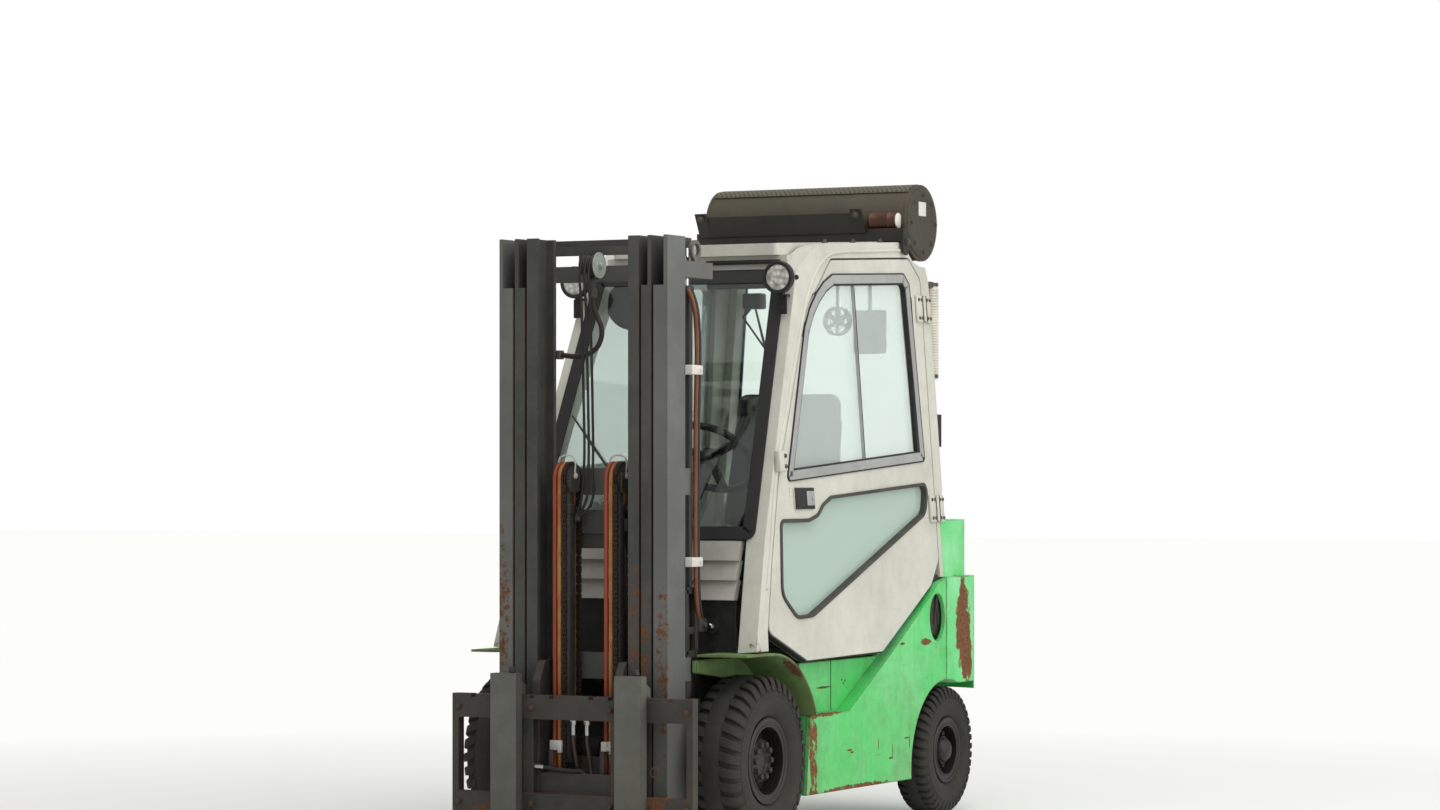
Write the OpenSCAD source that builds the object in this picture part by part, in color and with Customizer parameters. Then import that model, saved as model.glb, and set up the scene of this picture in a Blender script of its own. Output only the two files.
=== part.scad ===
// Counterbalance forklift with a steel cab, a three stage mast and an exhaust filter drum on the roof.
// +X is the left side, +Y is the rear, +Z is up; the sizes are millimetres.
// The sizes count from the front axle, and place() brings the middle of the whole length to the origin.

/* [Wheels] */
// Distance between the front and the rear axle
wheelbase = 1470; // [1420:1:1500]
// Diameter of a front tyre over its lugs
front_tyre_d = 575; // [560:1:580]
// Width of a front tyre
front_tyre_w = 180; // [170:1:184]
// Middle of a front tyre from the middle of the truck
front_wheel_x = 435; // [433:1:445]
// Diameter of the bead seat of a front rim
front_seat_d = 254; // [244:1:260]
// Diameter of a rear tyre over its lugs
rear_tyre_d = 470; // [450:1:474]
// Width of a rear tyre
rear_tyre_w = 130; // [120:1:134]
// Middle of a rear tyre from the middle of the truck
rear_wheel_x = 452; // [448:1:458]
// Diameter of the bead seat of a rear rim
rear_seat_d = 203; // [195:1:210]

/* [Axles] */
// Radius of the front axle tube
axle_r = 60; // [54:1:64]
// Radius of the front wheel spindles
front_spindle_r = 40; // [34:1:44]
// Kingpin from the middle of the truck
kingpin_x = 335; // [325:1:340]
// Radius of the kingpins
kingpin_r = 20; // [16:1:22]
// Radius of the rear wheel spindles
rear_spindle_r = 25; // [20:1:28]

/* [Mast] */
// Width over the outer rails
mast_w = 640; // [636:1:642]
// Height of the lowered mast
mast_h = 2040; // [2030:1:2080]
// Front of the rails ahead of the front axle
mast_face = 366; // [360:1:372]
// Depth of a rail from front to rear
rail_depth = 128; // [122:1:130]
// Thickness of a rail's web
rail_web = 14; // [10:1:16]
// Thickness of a rail's flanges
rail_flange = 16; // [12:1:18]
// Width of an outer rail
outer_rail = 52; // [48:1:54]
// Width of a middle rail
mid_rail = 38; // [34:1:40]
// Width of an inner rail
inner_rail = 41; // [38:1:42]
// Gap between neighbouring rails
rail_gap = 8; // [6:1:9]
// Length cut off the front flanges of the outer and middle rails at their top
flange_cut = 165; // [140:1:240]
// Radius of the main lift cylinders
lift_r = 28; // [25:1:30]
// Radius of the main lift rods
lift_rod_r = 18; // [15:1:20]
// Radius of the free lift cylinders
free_r = 27; // [24:1:29]
// Radius of the free lift rods
free_rod_r = 17; // [14:1:19]
// Middle of a free lift cylinder from the middle of the mast
free_x = 98; // [96:1:99]
// Radius of a chain sheave under the chain
sheave_r = 44; // [42:1:46]

/* [Carriage and forks] */
// Width of the fork carriage
carriage_w = 914; // [880:1:960]
// Front of the carriage ahead of the front axle
carriage_face = 445; // [440:1:450]
// Underside of the lower carriage bar
carriage_z = 107; // [104:1:112]
// Height of the carriage over its two bars
carriage_h = 407; // [400:1:415]
// Thickness of the carriage bars
bar_t = 36; // [30:1:40]
// Width of a fork
fork_w = 100; // [90:1:110]
// Thickness of a fork
fork_t = 40; // [35:1:45]
// Length of a fork blade ahead of its shank
fork_l = 1050; // [900:10:1200]
// Middle of a fork from the middle of the truck
fork_x = 236; // [230:1:300]
// Top of a fork shank
shank_top = 586; // [570:1:620]

/* [Cab] */
// Lean of the cab's sides in degrees
cab_lean = 4.2; // [3.6:0.1:4.4]
// Thickness of the doors
door_t = 40; // [34:1:42]
// Depth of the cab's posts from their outer face
post_t = 70; // [62:1:76]
// Thickness of the panes
glass_t = 6; // [4:1:8]
// Front edge of the roof behind the front axle
roof_front = 430; // [420:1:436]
// Rear edge of the roof ahead of the rear axle
roof_back = 148; // [146:1:170]
// Top of the roof at its front edge
roof_z = 2052; // [2050:1:2070]
// Slope of the roof in degrees
roof_slope = 3.2; // [2.8:0.1:3.6]
// Thickness of the roof
roof_t = 42; // [34:1:44]

/* [Body] */
// Half of the width of the body and the cab
body_half = 505; // [500:1:510]
// Underside of the sills
sill_z = 149; // [140:1:160]
// Height of the step
step_z = 423; // [410:1:430]
// Thickness of the side panels
panel_t = 14; // [10:1:18]
// Rear end of the counterweight behind the rear axle
overhang = 420; // [380:1:430]
// Top of the counterweight
weight_top = 1080; // [1060:1:1100]
// Radius of the tow pin's bore
tow_r = 16; // [12:1:20]

/* [Filter drum] */
// Diameter of the drum
drum_d = 276; // [260:1:280]
// Half of the drum's length
drum_half = 412; // [400:1:430]
// Middle of the drum ahead of the rear axle
drum_back = 20; // [12:1:22]
// Height of the drum's middle
drum_z = 2174; // [2172:1:2190]

/* [Hidden] */
$fn = 64;
fit = 0.3;
cab_half = body_half;
rear_end = wheelbase + overhang;
roof_rear = wheelbase - roof_back;
drum_y = wheelbase - drum_back;
flange_top = mast_h - flange_cut;
front_axle_z = front_tyre_d / 2;
rear_axle_z = rear_tyre_d / 2;
fork_tip = carriage_face + fork_t + fork_l;
origin_y = (rear_end - fork_tip) / 2;

// Mast stations
rail_front = -mast_face;
rail_rear = rail_front + rail_depth;
rail_mid_y = (rail_front + rail_rear) / 2;
outer_x = mast_w / 2;
mid_x = outer_x - outer_rail - rail_gap;
inner_x = mid_x - mid_rail - rail_gap;
inner_open = inner_x - inner_rail;
rail_foot = 95;
roller_r = rail_depth / 2 - rail_flange - fit;
tie_t = 10;
inner_tie_y = rail_rear;
mid_tie_y = inner_tie_y + tie_t + 6;
outer_tie_y = mid_tie_y + tie_t + 6;
lift_x = outer_x - 12 - 5 - lift_r;
lift_y = outer_tie_y + tie_t + 8 + lift_r;
lift_foot = 500;
lift_top = mast_h - 160;
mid_cap_z = mast_h - 35;
bow_z = mast_h - 135;
bow_h = 55;
bow_rear = -40;
ring_y = -158;
ring_z = mast_h - 42;
free_y = rail_mid_y + 5;
chain_t = 12;
chain_r = sheave_r + chain_t / 2;
free_foot = 300;
free_top = 1150;
sheave_z = 1235;
chain_w = 18;
lane = 18;
clamp_x = free_x + free_r + fit;
bar_back = -carriage_face + bar_t;
side_bar_x = inner_open - 5 - 28;
carriage_top = carriage_z + carriage_h;
anchor_z = 255;

// Tilt cylinders, from the pin on the chassis to the eye on the mast
tilt_x = 180;
tilt_pin = [440, 500];
tilt_ear = 5;
tilt_eye = [-158, 600];
tilt_angle = atan2(tilt_eye[1] - tilt_pin[1], tilt_pin[0] - tilt_eye[0]);
tilt_len = norm(tilt_pin - tilt_eye);
tilt_barrel = 400;
tilt_r = 32;
tilt_rod_r = 17;
pin_r = 14;
eye_play = 2;

// Chassis stations
beam_x = 250;
beam_t = 15;
floor_z = 640;
floor_t = 12;
recess_x = body_half - 48;
fender_t = 8;
fender_gap = 66;
fender_in = front_wheel_x - front_tyre_w / 2 - 2;
hood_front = 600;
cowl_half = cab_half - 110;
fender_r = front_tyre_d / 2 + fender_gap;
fender_top = front_axle_z + fender_r + fender_t;
bulkhead_y = -14;
cowl_z = 825;
screen_z = 1024;
screen_y = 30;
screen_lean = 22.1;
screen_top = 1950;
weight_front = wheelbase + 5;
engine_front = 680;
engine_rear = wheelbase - 330;
engine_z = 320;
arch_r = 310;
arch_z = 185;
keel_x = 125;
sweep_gap = 8;
steer_sweep = norm([rear_wheel_x + rear_tyre_w / 2 - kingpin_x, rear_tyre_d / 2]) + sweep_gap;
cab_z = 700;
post_rear = wheelbase + 42;
post_foot = fender_top + post_t * sin(cab_lean) + 2 * fit;
post_top = 1955;
glass_seat = 42;
door_rear = wheelbase - 33;
door_gap = 6;
hinge_r = 8;
hinge_h = 90;
hinge_heights = [1859, 1123];
column_foot = [0, 250, 985];
column_lean = 43;
column_len = 440;
wheel_rim_r = 165;

// Moves a piece from the front axle's frame to the part's own
module place() {
    translate([0, -origin_y, 0]) children();
}

// A piece and its mirror image on the right side
module both_sides() {
    children();
    mirror([1, 0, 0]) children();
}

// A box between two values on each axis
module block(x, y, z) {
    translate([x[0], y[0], z[0]]) cube([x[1] - x[0], y[1] - y[0], z[1] - z[0]]);
}

// A round bar along X
module bar_x(r, x0, x1, y, z) {
    translate([x0, y, z]) rotate([0, 90, 0]) cylinder(r = r, h = x1 - x0);
}

// A round bar along Z
module bar_z(r, z0, z1, x, y) {
    translate([x, y, z0]) cylinder(r = r, h = z1 - z0);
}

// An upright plate drawn in Y and Z, between two X values
module side_plate(x0, x1) {
    translate([x0, 0, 0]) rotate([90, 0, 90]) linear_extrude(x1 - x0) children();
}

// A plate drawn in Y and Z that leans with the cab's left side, between two depths from its face
module lean_plate(d0, d1) {
    translate([cab_half, 0, cab_z])
        rotate([0, -cab_lean, 0])
            translate([-d1, 0, -cab_z])
                rotate([90, 0, 90]) linear_extrude(d1 - d0) children();
}

// A drawing with its corners rounded
module rounded(r) {
    offset(r = r) offset(delta = -r) children();
}

// A drawing with its inner corners rounded as well
module smooth(r) {
    offset(r = -r) offset(delta = r) rounded(r) children();
}

// Pieces drawn in the slope of the roof, from its front edge's top
module on_roof() {
    translate([0, roof_front, roof_z]) rotate([roof_slope, 0, 0]) children();
}

// Pieces drawn in the plane of the windscreen, with X across and Z up its slope
module on_screen() {
    translate([0, screen_y, screen_z]) rotate([-screen_lean, 0, 0]) children();
}

module chassis_frame() {
    color("#2b2b2b") {
        both_sides() {
            difference() {
                side_plate(beam_x - beam_t, beam_x)
                    polygon([[-70, 330], [-20, floor_z - floor_t], [wheelbase - 300, floor_z - floor_t],
                        [wheelbase - 300, 200], [120, 200], [60, 230], [-70, 240]]);
                bar_x(axle_r + fit, 0, front_wheel_x, 0, front_axle_z);
            }
            difference() {
                side_plate(tilt_x + tilt_r + tilt_ear, beam_x - beam_t)
                    union() {
                        translate(tilt_pin) circle(r = 36);
                        polygon([[tilt_pin[0] - 36, tilt_pin[1]], [tilt_pin[0] + 36, tilt_pin[1]],
                            [tilt_pin[0] + 60, tilt_pin[1] - 80], [tilt_pin[0] - 60, tilt_pin[1] - 80]]);
                    }
                bar_x(pin_r + fit, 0, beam_x, tilt_pin[0], tilt_pin[1]);
            }
        }
        block([-fender_in + 3, fender_in - 3], [bulkhead_y, hood_front], [floor_z - floor_t, floor_z]);
        block([-fender_in + 8, fender_in - 8], [bulkhead_y, bulkhead_y + 10], [floor_z, fender_top + 2]);
        block([-cowl_half, cowl_half], [bulkhead_y, bulkhead_y + 10], [fender_top + fit, cowl_z]);
        block([-beam_x, beam_x], [wheelbase - 320, wheelbase - 300], [200, floor_z - floor_t]);
        for (y = [engine_front + 80, engine_rear - 120])
            block([-beam_x, beam_x], [y, y + 40], [engine_z - 40, engine_z]);
        block([-keel_x, keel_x], [wheelbase - 300, weight_front], [rear_axle_z + 75, 495]);
        for (y = [wheelbase - 95, wheelbase + 75])
            difference() {
                block([-80, 80], [y, y + 20], [rear_axle_z - 40, rear_axle_z + 75]);
                translate([0, y - 1, rear_axle_z]) rotate([-90, 0, 0]) cylinder(r = 30 + fit, h = 22);
            }
        block([-80, 80], [weight_front, wheelbase + 95], [rear_axle_z + 75, rear_axle_z + 95]);
    }
}

// The upper edge of a side panel, from the step to the counterweight
side_top = [[640, step_z], [wheelbase - 470, 615], [wheelbase - 150, 800], [wheelbase - 70, 852],
    [wheelbase - 5, 866]];

// The outline of a side panel between the front wheel and the rear arch
module side_outline() {
    difference() {
        polygon(concat([[330, step_z], [300, sill_z], [wheelbase, sill_z]],
            [for (i = [len(side_top) - 1 : -1 : 0]) side_top[i]]));
        translate([wheelbase, arch_z]) circle(r = arch_r);
        translate([wheelbase - 82, 726]) scale([0.76, 1]) circle(r = 87);
    }
}

module body_sides() {
    color("#5fd27a")
        both_sides() {
            side_plate(body_half - panel_t, body_half) side_outline();
            block([beam_x, body_half - panel_t], [302, wheelbase - 312], [sill_z, sill_z + panel_t]);
            block([beam_x, body_half - panel_t], [332, 640], [step_z - panel_t, step_z]);
            block([beam_x, body_half - panel_t], [wheelbase - 326, wheelbase - 312], [sill_z, 480]);
            side_plate(beam_x, body_half - panel_t)
                polygon([[302, sill_z], [316, sill_z], [346, step_z], [332, step_z]]);
            side_plate(recess_x - panel_t, recess_x)
                polygon([[340, step_z - panel_t], [340, 600], [wheelbase - 510, 600], [wheelbase - 270, 720],
                    [wheelbase - 270, 640], [wheelbase - 570, step_z - panel_t]]);
            side_plate(recess_x - panel_t, body_half - panel_t)
                polygon(concat(side_top,
                    [for (i = [len(side_top) - 1 : -1 : 0]) side_top[i] - [0, panel_t]]));
        }
}

module front_fenders() {
    color("#4cc468")
        both_sides() {
            side_plate(fender_in, front_wheel_x + 95)
                difference() {
                    union() {
                        translate([0, front_axle_z]) circle(r = fender_r + fender_t);
                        translate([-200, front_axle_z + fender_r]) square([200, fender_t]);
                    }
                    translate([0, front_axle_z]) circle(r = fender_r);
                    translate([-500, -500]) square([500, front_axle_z + fender_r + 500]);
                    translate([-10, -500]) square([600, step_z + 500]);
                }
            side_plate(fender_in - 17, fender_in)
                difference() {
                    polygon([[-200, front_axle_z + fender_r], [-200, floor_z - floor_t], [bulkhead_y, floor_z - floor_t],
                        [250, floor_z - floor_t], [330, step_z], [330, front_axle_z + 130],
                        [120, front_axle_z + 260], [-200, front_axle_z + 300]]);
                    translate([-300, floor_z - floor_t]) square([900, 200]);
                }
        }
}

module drive_axle() {
    hub_x = front_wheel_x - front_tyre_w / 2;
    color("#3a3a38") {
        bar_x(axle_r, -hub_x + 6, hub_x - 6, 0, front_axle_z);
        translate([0, 0, front_axle_z]) rotate([90, 0, 0]) rotate([0, 0, 0])
            translate([0, 0, -110]) cylinder(r1 = 70, r2 = 120, h = 110);
        translate([0, 0, front_axle_z]) sphere(r = 130);
        both_sides()
            bar_x(front_spindle_r, hub_x - 7, front_wheel_x + 20, 0, front_axle_z);
    }
}

module steer_axle() {
    fork_z = 52;
    color("#2e2e2c")
        difference() {
            union() {
                block([-kingpin_x + 90, kingpin_x - 90], [wheelbase - 40, wheelbase + 40],
                    [rear_axle_z - 42, rear_axle_z + 42]);
                both_sides()
                    for (z = [-fork_z - 18, fork_z])
                        translate([0, 0, rear_axle_z + z]) {
                            block([kingpin_x - 120, kingpin_x], [wheelbase - 36, wheelbase + 36], [0, 18]);
                            bar_z(36, 0, 18, kingpin_x, wheelbase);
                        }
                both_sides()
                    block([kingpin_x - 120, kingpin_x - 90], [wheelbase - 36, wheelbase + 36],
                        [rear_axle_z - fork_z - 18, rear_axle_z + fork_z + 18]);
                translate([0, wheelbase - 96, rear_axle_z]) rotate([-90, 0, 0]) cylinder(r = 30, h = 192);
                bar_x(34, -150, 150, wheelbase + 60, rear_axle_z);
            }
            both_sides()
                bar_z(kingpin_r + fit, rear_axle_z - 100, rear_axle_z + 100, kingpin_x, wheelbase);
            for (y = [wheelbase - 96, wheelbase + 74])
                difference() {
                    translate([-200, y, 0]) cube([400, 22, 600]);
                    translate([0, y - 1, rear_axle_z]) rotate([-90, 0, 0]) cylinder(r = 30, h = 24);
                }
        }
}

// The counterweight's plan, square to the body in front and round at its rear corners
module weight_plan(inset) {
    intersection() {
        translate([-body_half + inset, weight_front - 400])
            rounded(210) square([2 * (body_half - inset), rear_end - inset - weight_front + 400]);
        translate([-body_half, weight_front]) square([2 * body_half, 600]);
    }
}

module counterweight() {
    slot_z = 600;
    color("#58cc74")
        difference() {
            union() {
                translate([0, 0, 450]) linear_extrude(420) weight_plan(0);
                translate([0, 0, 870]) linear_extrude(weight_top - 870) weight_plan(28);
                block([-keel_x, keel_x], [wheelbase + 160, rear_end - 40], [200, 460]);
            }
            side_plate(-body_half - 1, -keel_x) translate([wheelbase, arch_z]) circle(r = arch_r);
            side_plate(keel_x, body_half + 1) translate([wheelbase, arch_z]) circle(r = arch_r);
            both_sides()
                bar_z(steer_sweep, 0, rear_tyre_d + sweep_gap, kingpin_x, wheelbase);
            block([-keel_x - 1, keel_x + 1], [weight_front - 1, wheelbase + 160], [400, 500]);
            block([-60, 60], [rear_end - 120, rear_end + 1], [slot_z, slot_z + 70]);
            block([-60, 60], [rear_end - 120, rear_end + 1], [slot_z + 130, slot_z + 250]);
            bar_z(tow_r, 0, slot_z + 131, 0, rear_end - 60);
            for (x = [-180 : 90 : 180])
                block([x - 32, x + 32], [rear_end - 60, rear_end + 1], [910, 1040]);
        }
}

module engine_block() {
    color("#4a4a48") block([-190, 190], [engine_front, engine_rear], [engine_z, engine_z + 500]);
}

module engine_hood() {
    color("#3c3c3a")
        difference() {
            translate([0, 0, floor_z])
                linear_extrude(300)
                    translate([-320, hood_front]) rounded(50) square([640, weight_front - 10 - hood_front]);
            translate([0, 0, floor_z - 1])
                linear_extrude(286)
                    translate([-306, hood_front + 14]) rounded(40) square([612, weight_front - 38 - hood_front]);
        }
}

// The front edge of a door, from its foot to its upper corner
door_front = [[14, 720], [75, 949], [170, 1245], [470, 1820], [690, 2006]];

// The height along the leaning side that lies at a given true height
function lean_z(z) = cab_z + (z - cab_z) / cos(cab_lean);

// The front face of the front posts at a true height, behind the edge of the windscreen
function post_face(z) = screen_y + fit - glass_seat * sin(cab_lean) * tan(screen_lean)
    + (z - screen_z) * tan(screen_lean);

// A post between the windscreen and the door; its front face seats the edge of the windscreen
module front_post_outline() {
    back = [for (p = door_front) p - [door_gap, 0]];
    polygon(concat([[-87, post_foot], [post_face(screen_z), lean_z(screen_z)],
        [post_face(post_top), lean_z(post_top)]],
        [[600, lean_z(post_top)]], [for (i = [3 : -1 : 0]) back[i]], [[5, post_foot]]));
}

// The top of a plate at a distance behind the front axle, just under the roof's slope
function under_roof(y) = lean_z(roof_z + (y - roof_front) * tan(roof_slope)) - 4;

// The bent rail that joins the posts over a door and curves down into the front post
module roof_rail_outline() {
    difference() {
        polygon([[post_face(1880), lean_z(1880)], [post_face(post_top), lean_z(post_top)], [460, 1992],
            [514, 2026], [566, 2048], [634, under_roof(634)], [roof_rear, under_roof(roof_rear)],
            [roof_rear + 22, 2066], [roof_rear + 62, 2034], [door_rear, 2018], [post_rear - 20, 2015],
            [post_rear, 1960], [post_rear, 1880]]);
        offset(delta = door_gap) door_outline();
    }
}

module cab_frame() {
    rail_h = 50;
    color("#d2cec6") {
        both_sides() {
            lean_plate(0, post_t) {
                front_post_outline();
                polygon([[door_rear + door_gap, 872], [weight_front - 4, 872], [weight_front - 4, weight_top + 40],
                    [post_rear, weight_top + 110], [post_rear, 1960], [post_rear - 20, 2015],
                    [door_rear + door_gap, 2015]]);
                roof_rail_outline();
            }
            for (z = hinge_heights)
                hinge_half(z - hinge_h / 2, z - fit, 0, 50);
        }
        on_roof() {
            both_sides()
                block([cab_half - 195, cab_half - 150], [60, roof_rear - roof_front], [-roof_t - rail_h, -roof_t]);
            block([-cab_half + 150, cab_half - 150], [20, 70], [-roof_t - rail_h, -roof_t]);
        }
        block([-cab_half + 130, cab_half - 130], [door_rear + door_gap, post_rear - 20], [1955, 2015]);
        both_sides()
            block([cab_half - 188, cab_half - 157], [roof_rear - 60, door_rear + door_gap + 20], [1965, 2035]);
        block([-cab_half + 60, cab_half - 60], [door_rear + door_gap, post_rear], [weight_top, weight_top + 60]);
    }
}

module roof() {
    color("#c8c4bc")
        on_roof()
            translate([0, 0, -roof_t])
                linear_extrude(roof_t)
                    translate([-cab_half + 178, 0]) rounded(20) square([2 * cab_half - 356, roof_rear - roof_front]);
}

module front_cowl() {
    steps = 3;
    step_h = (screen_z - cowl_z) / steps;
    color("#a9a69f")
        for (i = [0 : steps - 1])
            side_plate(-cowl_half, cowl_half)
                polygon([[bulkhead_y - 20 + 14 * i, cowl_z + step_h * i],
                    [bulkhead_y + 10 + 14 * i, cowl_z + step_h * i],
                    [bulkhead_y + 38 + 14 * i, cowl_z + step_h * (i + 1)],
                    [bulkhead_y + 8 + 14 * i, cowl_z + step_h * (i + 1)]]);
}

module cab_glass() {
    slope = (screen_top - screen_z) / cos(screen_lean);
    color("#bfe3cf") {
        on_screen()
            rotate([90, 0, 0]) linear_extrude(glass_t)
                rounded(30) polygon([[-cab_half + 65, 6], [cab_half - 65, 6], [cab_half - 133, slope], [-cab_half + 133, slope]]);
        translate([0, post_rear + glass_t, 0]) rotate([90, 0, 0]) linear_extrude(glass_t)
            rounded(40) polygon([[-cab_half + 95, weight_top + 10], [cab_half - 95, weight_top + 10],
                [cab_half - 155, 1995], [-cab_half + 155, 1995]]);
    }
}

module dash() {
    color("#3d3d3c") {
        side_plate(-300, 300)
            smooth(14) polygon([[45, floor_z], [45, 960], [95, 1012], [225, 1012], [290, 940], [190, 860], [150, floor_z]]);
        translate(column_foot) rotate([-column_lean, 0, 0]) cylinder(r = 32, h = column_len - 60);
        translate(column_foot) rotate([-column_lean, 0, 0]) cylinder(r = 12, h = column_len - 25);
    }
}

module steering_wheel() {
    color("#1d1d1d")
        translate(column_foot) rotate([-column_lean, 0, 0]) translate([0, 0, column_len]) {
            difference() {
                translate([0, 0, -40]) cylinder(r = 34, h = 58);
                translate([0, 0, -41]) cylinder(r = 12 + fit, h = 16 + fit);
            }
            rotate_extrude() translate([wheel_rim_r, 0]) circle(r = 13);
            for (a = [90, 210, 330])
                rotate([0, 0, a]) translate([20, -14, -8]) cube([wheel_rim_r - 26, 28, 14]);
        }
}

module seat() {
    back_lean = 9;
    color("#2a2a2c") {
        translate([0, 0, floor_z + 300])
            linear_extrude(105) translate([-245, 700]) rounded(60) square([490, 480]);
        translate([0, 1115, floor_z + 405 + 60 * sin(back_lean) + fit]) rotate([-back_lean, 0, 0])
            rotate([90, 0, 0]) translate([0, 0, -60])
                linear_extrude(110) rounded(70) polygon([[-240, 0], [240, 0], [215, 480], [-215, 480]]);
    }
}

module lamps() {
    lamp = [cab_half - 105, 312, 1925];
    lamp_r = 53;
    arm_z = 1862;
    color("#d8d8d2")
        both_sides() {
            translate(lamp) rotate([90, 0, 0]) {
                cylinder(r = lamp_r, h = 20);
                translate([0, 0, -24]) cylinder(r1 = 40, r2 = lamp_r - 3, h = 24);
            }
            block([lamp[0] - 8, lamp[0] + 8], [lamp[1] - 4, lamp[1] + 18], [arm_z, arm_z + 30]);
            block([lamp[0] - 8, lamp[0] + 8], [lamp[1] - 4, post_face(arm_z) - fit], [arm_z, arm_z + 8]);
            block([cab_half - 97, cab_half - 57], [post_rear, post_rear + 40], [1350, 1470]);
        }
}

module exhaust_drum() {
    color("#4c4842") {
        bar_x(drum_d / 2, -drum_half, drum_half, drum_y, drum_z);
        bar_x(drum_d / 2 + 3, drum_half - 10, drum_half, drum_y, drum_z);
        bar_x(drum_d / 2 + 3, -drum_half, -drum_half + 10, drum_y, drum_z);
        bar_x(32, drum_half - 132, drum_half - 24, drum_y - drum_d / 2 - 12, drum_z + 2);
    }
}

module drum_frame() {
    ledge_y = roof_rear - roof_front - 52;
    ledge_half = cab_half - 80;
    plate_x = [-362, 230];
    color("#2f2b27") {
        on_roof() {
            block([-ledge_half, ledge_half], [ledge_y, ledge_y + 12], [0, 48]);
            block([-ledge_half, ledge_half], [ledge_y, roof_rear - roof_front], [0, 8]);
            side_plate(plate_x[0], plate_x[1])
                polygon([[ledge_y - 8, 34], [ledge_y, 30], [ledge_y - 26, 108], [ledge_y - 34, 108]]);
            for (x = [plate_x[0] - 46, plate_x[1]])
                side_plate(x, x + 46)
                    polygon([[ledge_y - 8, 34], [ledge_y, 30], [ledge_y - 40, 122], [ledge_y - 48, 122]]);
        }
        both_sides()
            on_roof()
                side_plate(ledge_half - 12, ledge_half)
                    polygon([[ledge_y, -40], [ledge_y, 48], [ledge_y + 34, 48], [ledge_y + 62, 10],
                        [ledge_y + 62, -20], [ledge_y + 30, -52]]);
        for (x = [-cab_half + 205, cab_half - 205])
            difference() {
                block([x - 8, x + 8], [drum_y + 20, post_rear - 21], [2015, drum_z]);
                bar_x(drum_d / 2 + fit, -drum_half, drum_half, drum_y, drum_z);
            }
    }
}

module air_hose() {
    hose_x = cab_half - 105;
    color("#d9d3bd") {
        for (i = [0 : 11])
            bar_z(i % 2 == 0 ? 32 : 28, 1600 + 30 * i, 1630 + 30 * i, hose_x, post_rear + 48);
        block([hose_x - 8, hose_x + 8], [post_rear, post_rear + 24], [1700, 1716]);
    }
}

// The outline of a door, rounded at its corners
module door_outline() {
    smooth(38)
        polygon(concat(door_front,
            [[door_rear - 92, 2040], [door_rear, 1965], [door_rear, 935], [door_rear - 78, 845],
            [door_rear - 532, 620], [299, 612]]));
}

// The two panes of a door; grow widens them for the frames that hold them
module door_panes(grow) {
    offset(delta = grow) {
        rounded(24) polygon([[230, 1230], [440, 1757], [490, 1826], [552, 1882], [614, 1922], [690, 1952],
            [door_rear - 150, 1980], [door_rear - 108, 1945], [door_rear - 74, 1302]]);
        rounded(26) polygon([[157, 1094], [375, 1094], [446, 1110], [492, 1146], [560, 1172],
            [door_rear - 82, 1216], [door_rear - 68, 1185], [door_rear - 92, 1106], [355, 762], [235, 758], [128, 840]]);
    }
}

// One half of a door hinge: its knuckle on the hinge line and a leaf from y0 to y1 beside that line
module hinge_half(z0, z1, y0, y1) {
    hinge_y = door_rear + door_gap / 2;
    lean_plate(-hinge_r, 0) translate([hinge_y + y0, z0]) square([y1 - y0, z1 - z0]);
    translate([cab_half, hinge_y, cab_z])
        rotate([0, -cab_lean, 0]) translate([hinge_r, 0, z0 - cab_z]) cylinder(r = hinge_r, h = z1 - z0);
}

module left_door() {
    color("#d2cec6") {
        difference() {
            lean_plate(0, door_t) door_outline();
            lean_plate(-1, door_t + 1) door_panes(0);
        }
        for (z = hinge_heights)
            hinge_half(z, z + hinge_h / 2, -55, 0);
        lean_plate(-6, 0) translate([266, 1128]) rounded(10) square([150, 78]);
    }
}

module left_door_glass() {
    color("#bfe3cf")
        lean_plate(door_t / 2 - glass_t / 2, door_t / 2 + glass_t / 2) door_panes(-fit);
}

module right_door() {
    mirror([1, 0, 0]) left_door();
}

module right_door_glass() {
    mirror([1, 0, 0]) left_door_glass();
}

// A rail of the left side: a channel that opens towards the middle, its web at x
module rail(x, w, front_top) {
    block([x - rail_web, x], [rail_front, rail_rear], [rail_foot, mast_h]);
    block([x - w, x], [rail_rear - rail_flange, rail_rear], [rail_foot, mast_h]);
    block([x - w, x], [rail_front, rail_front + rail_flange], [rail_foot, front_top]);
}

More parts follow.
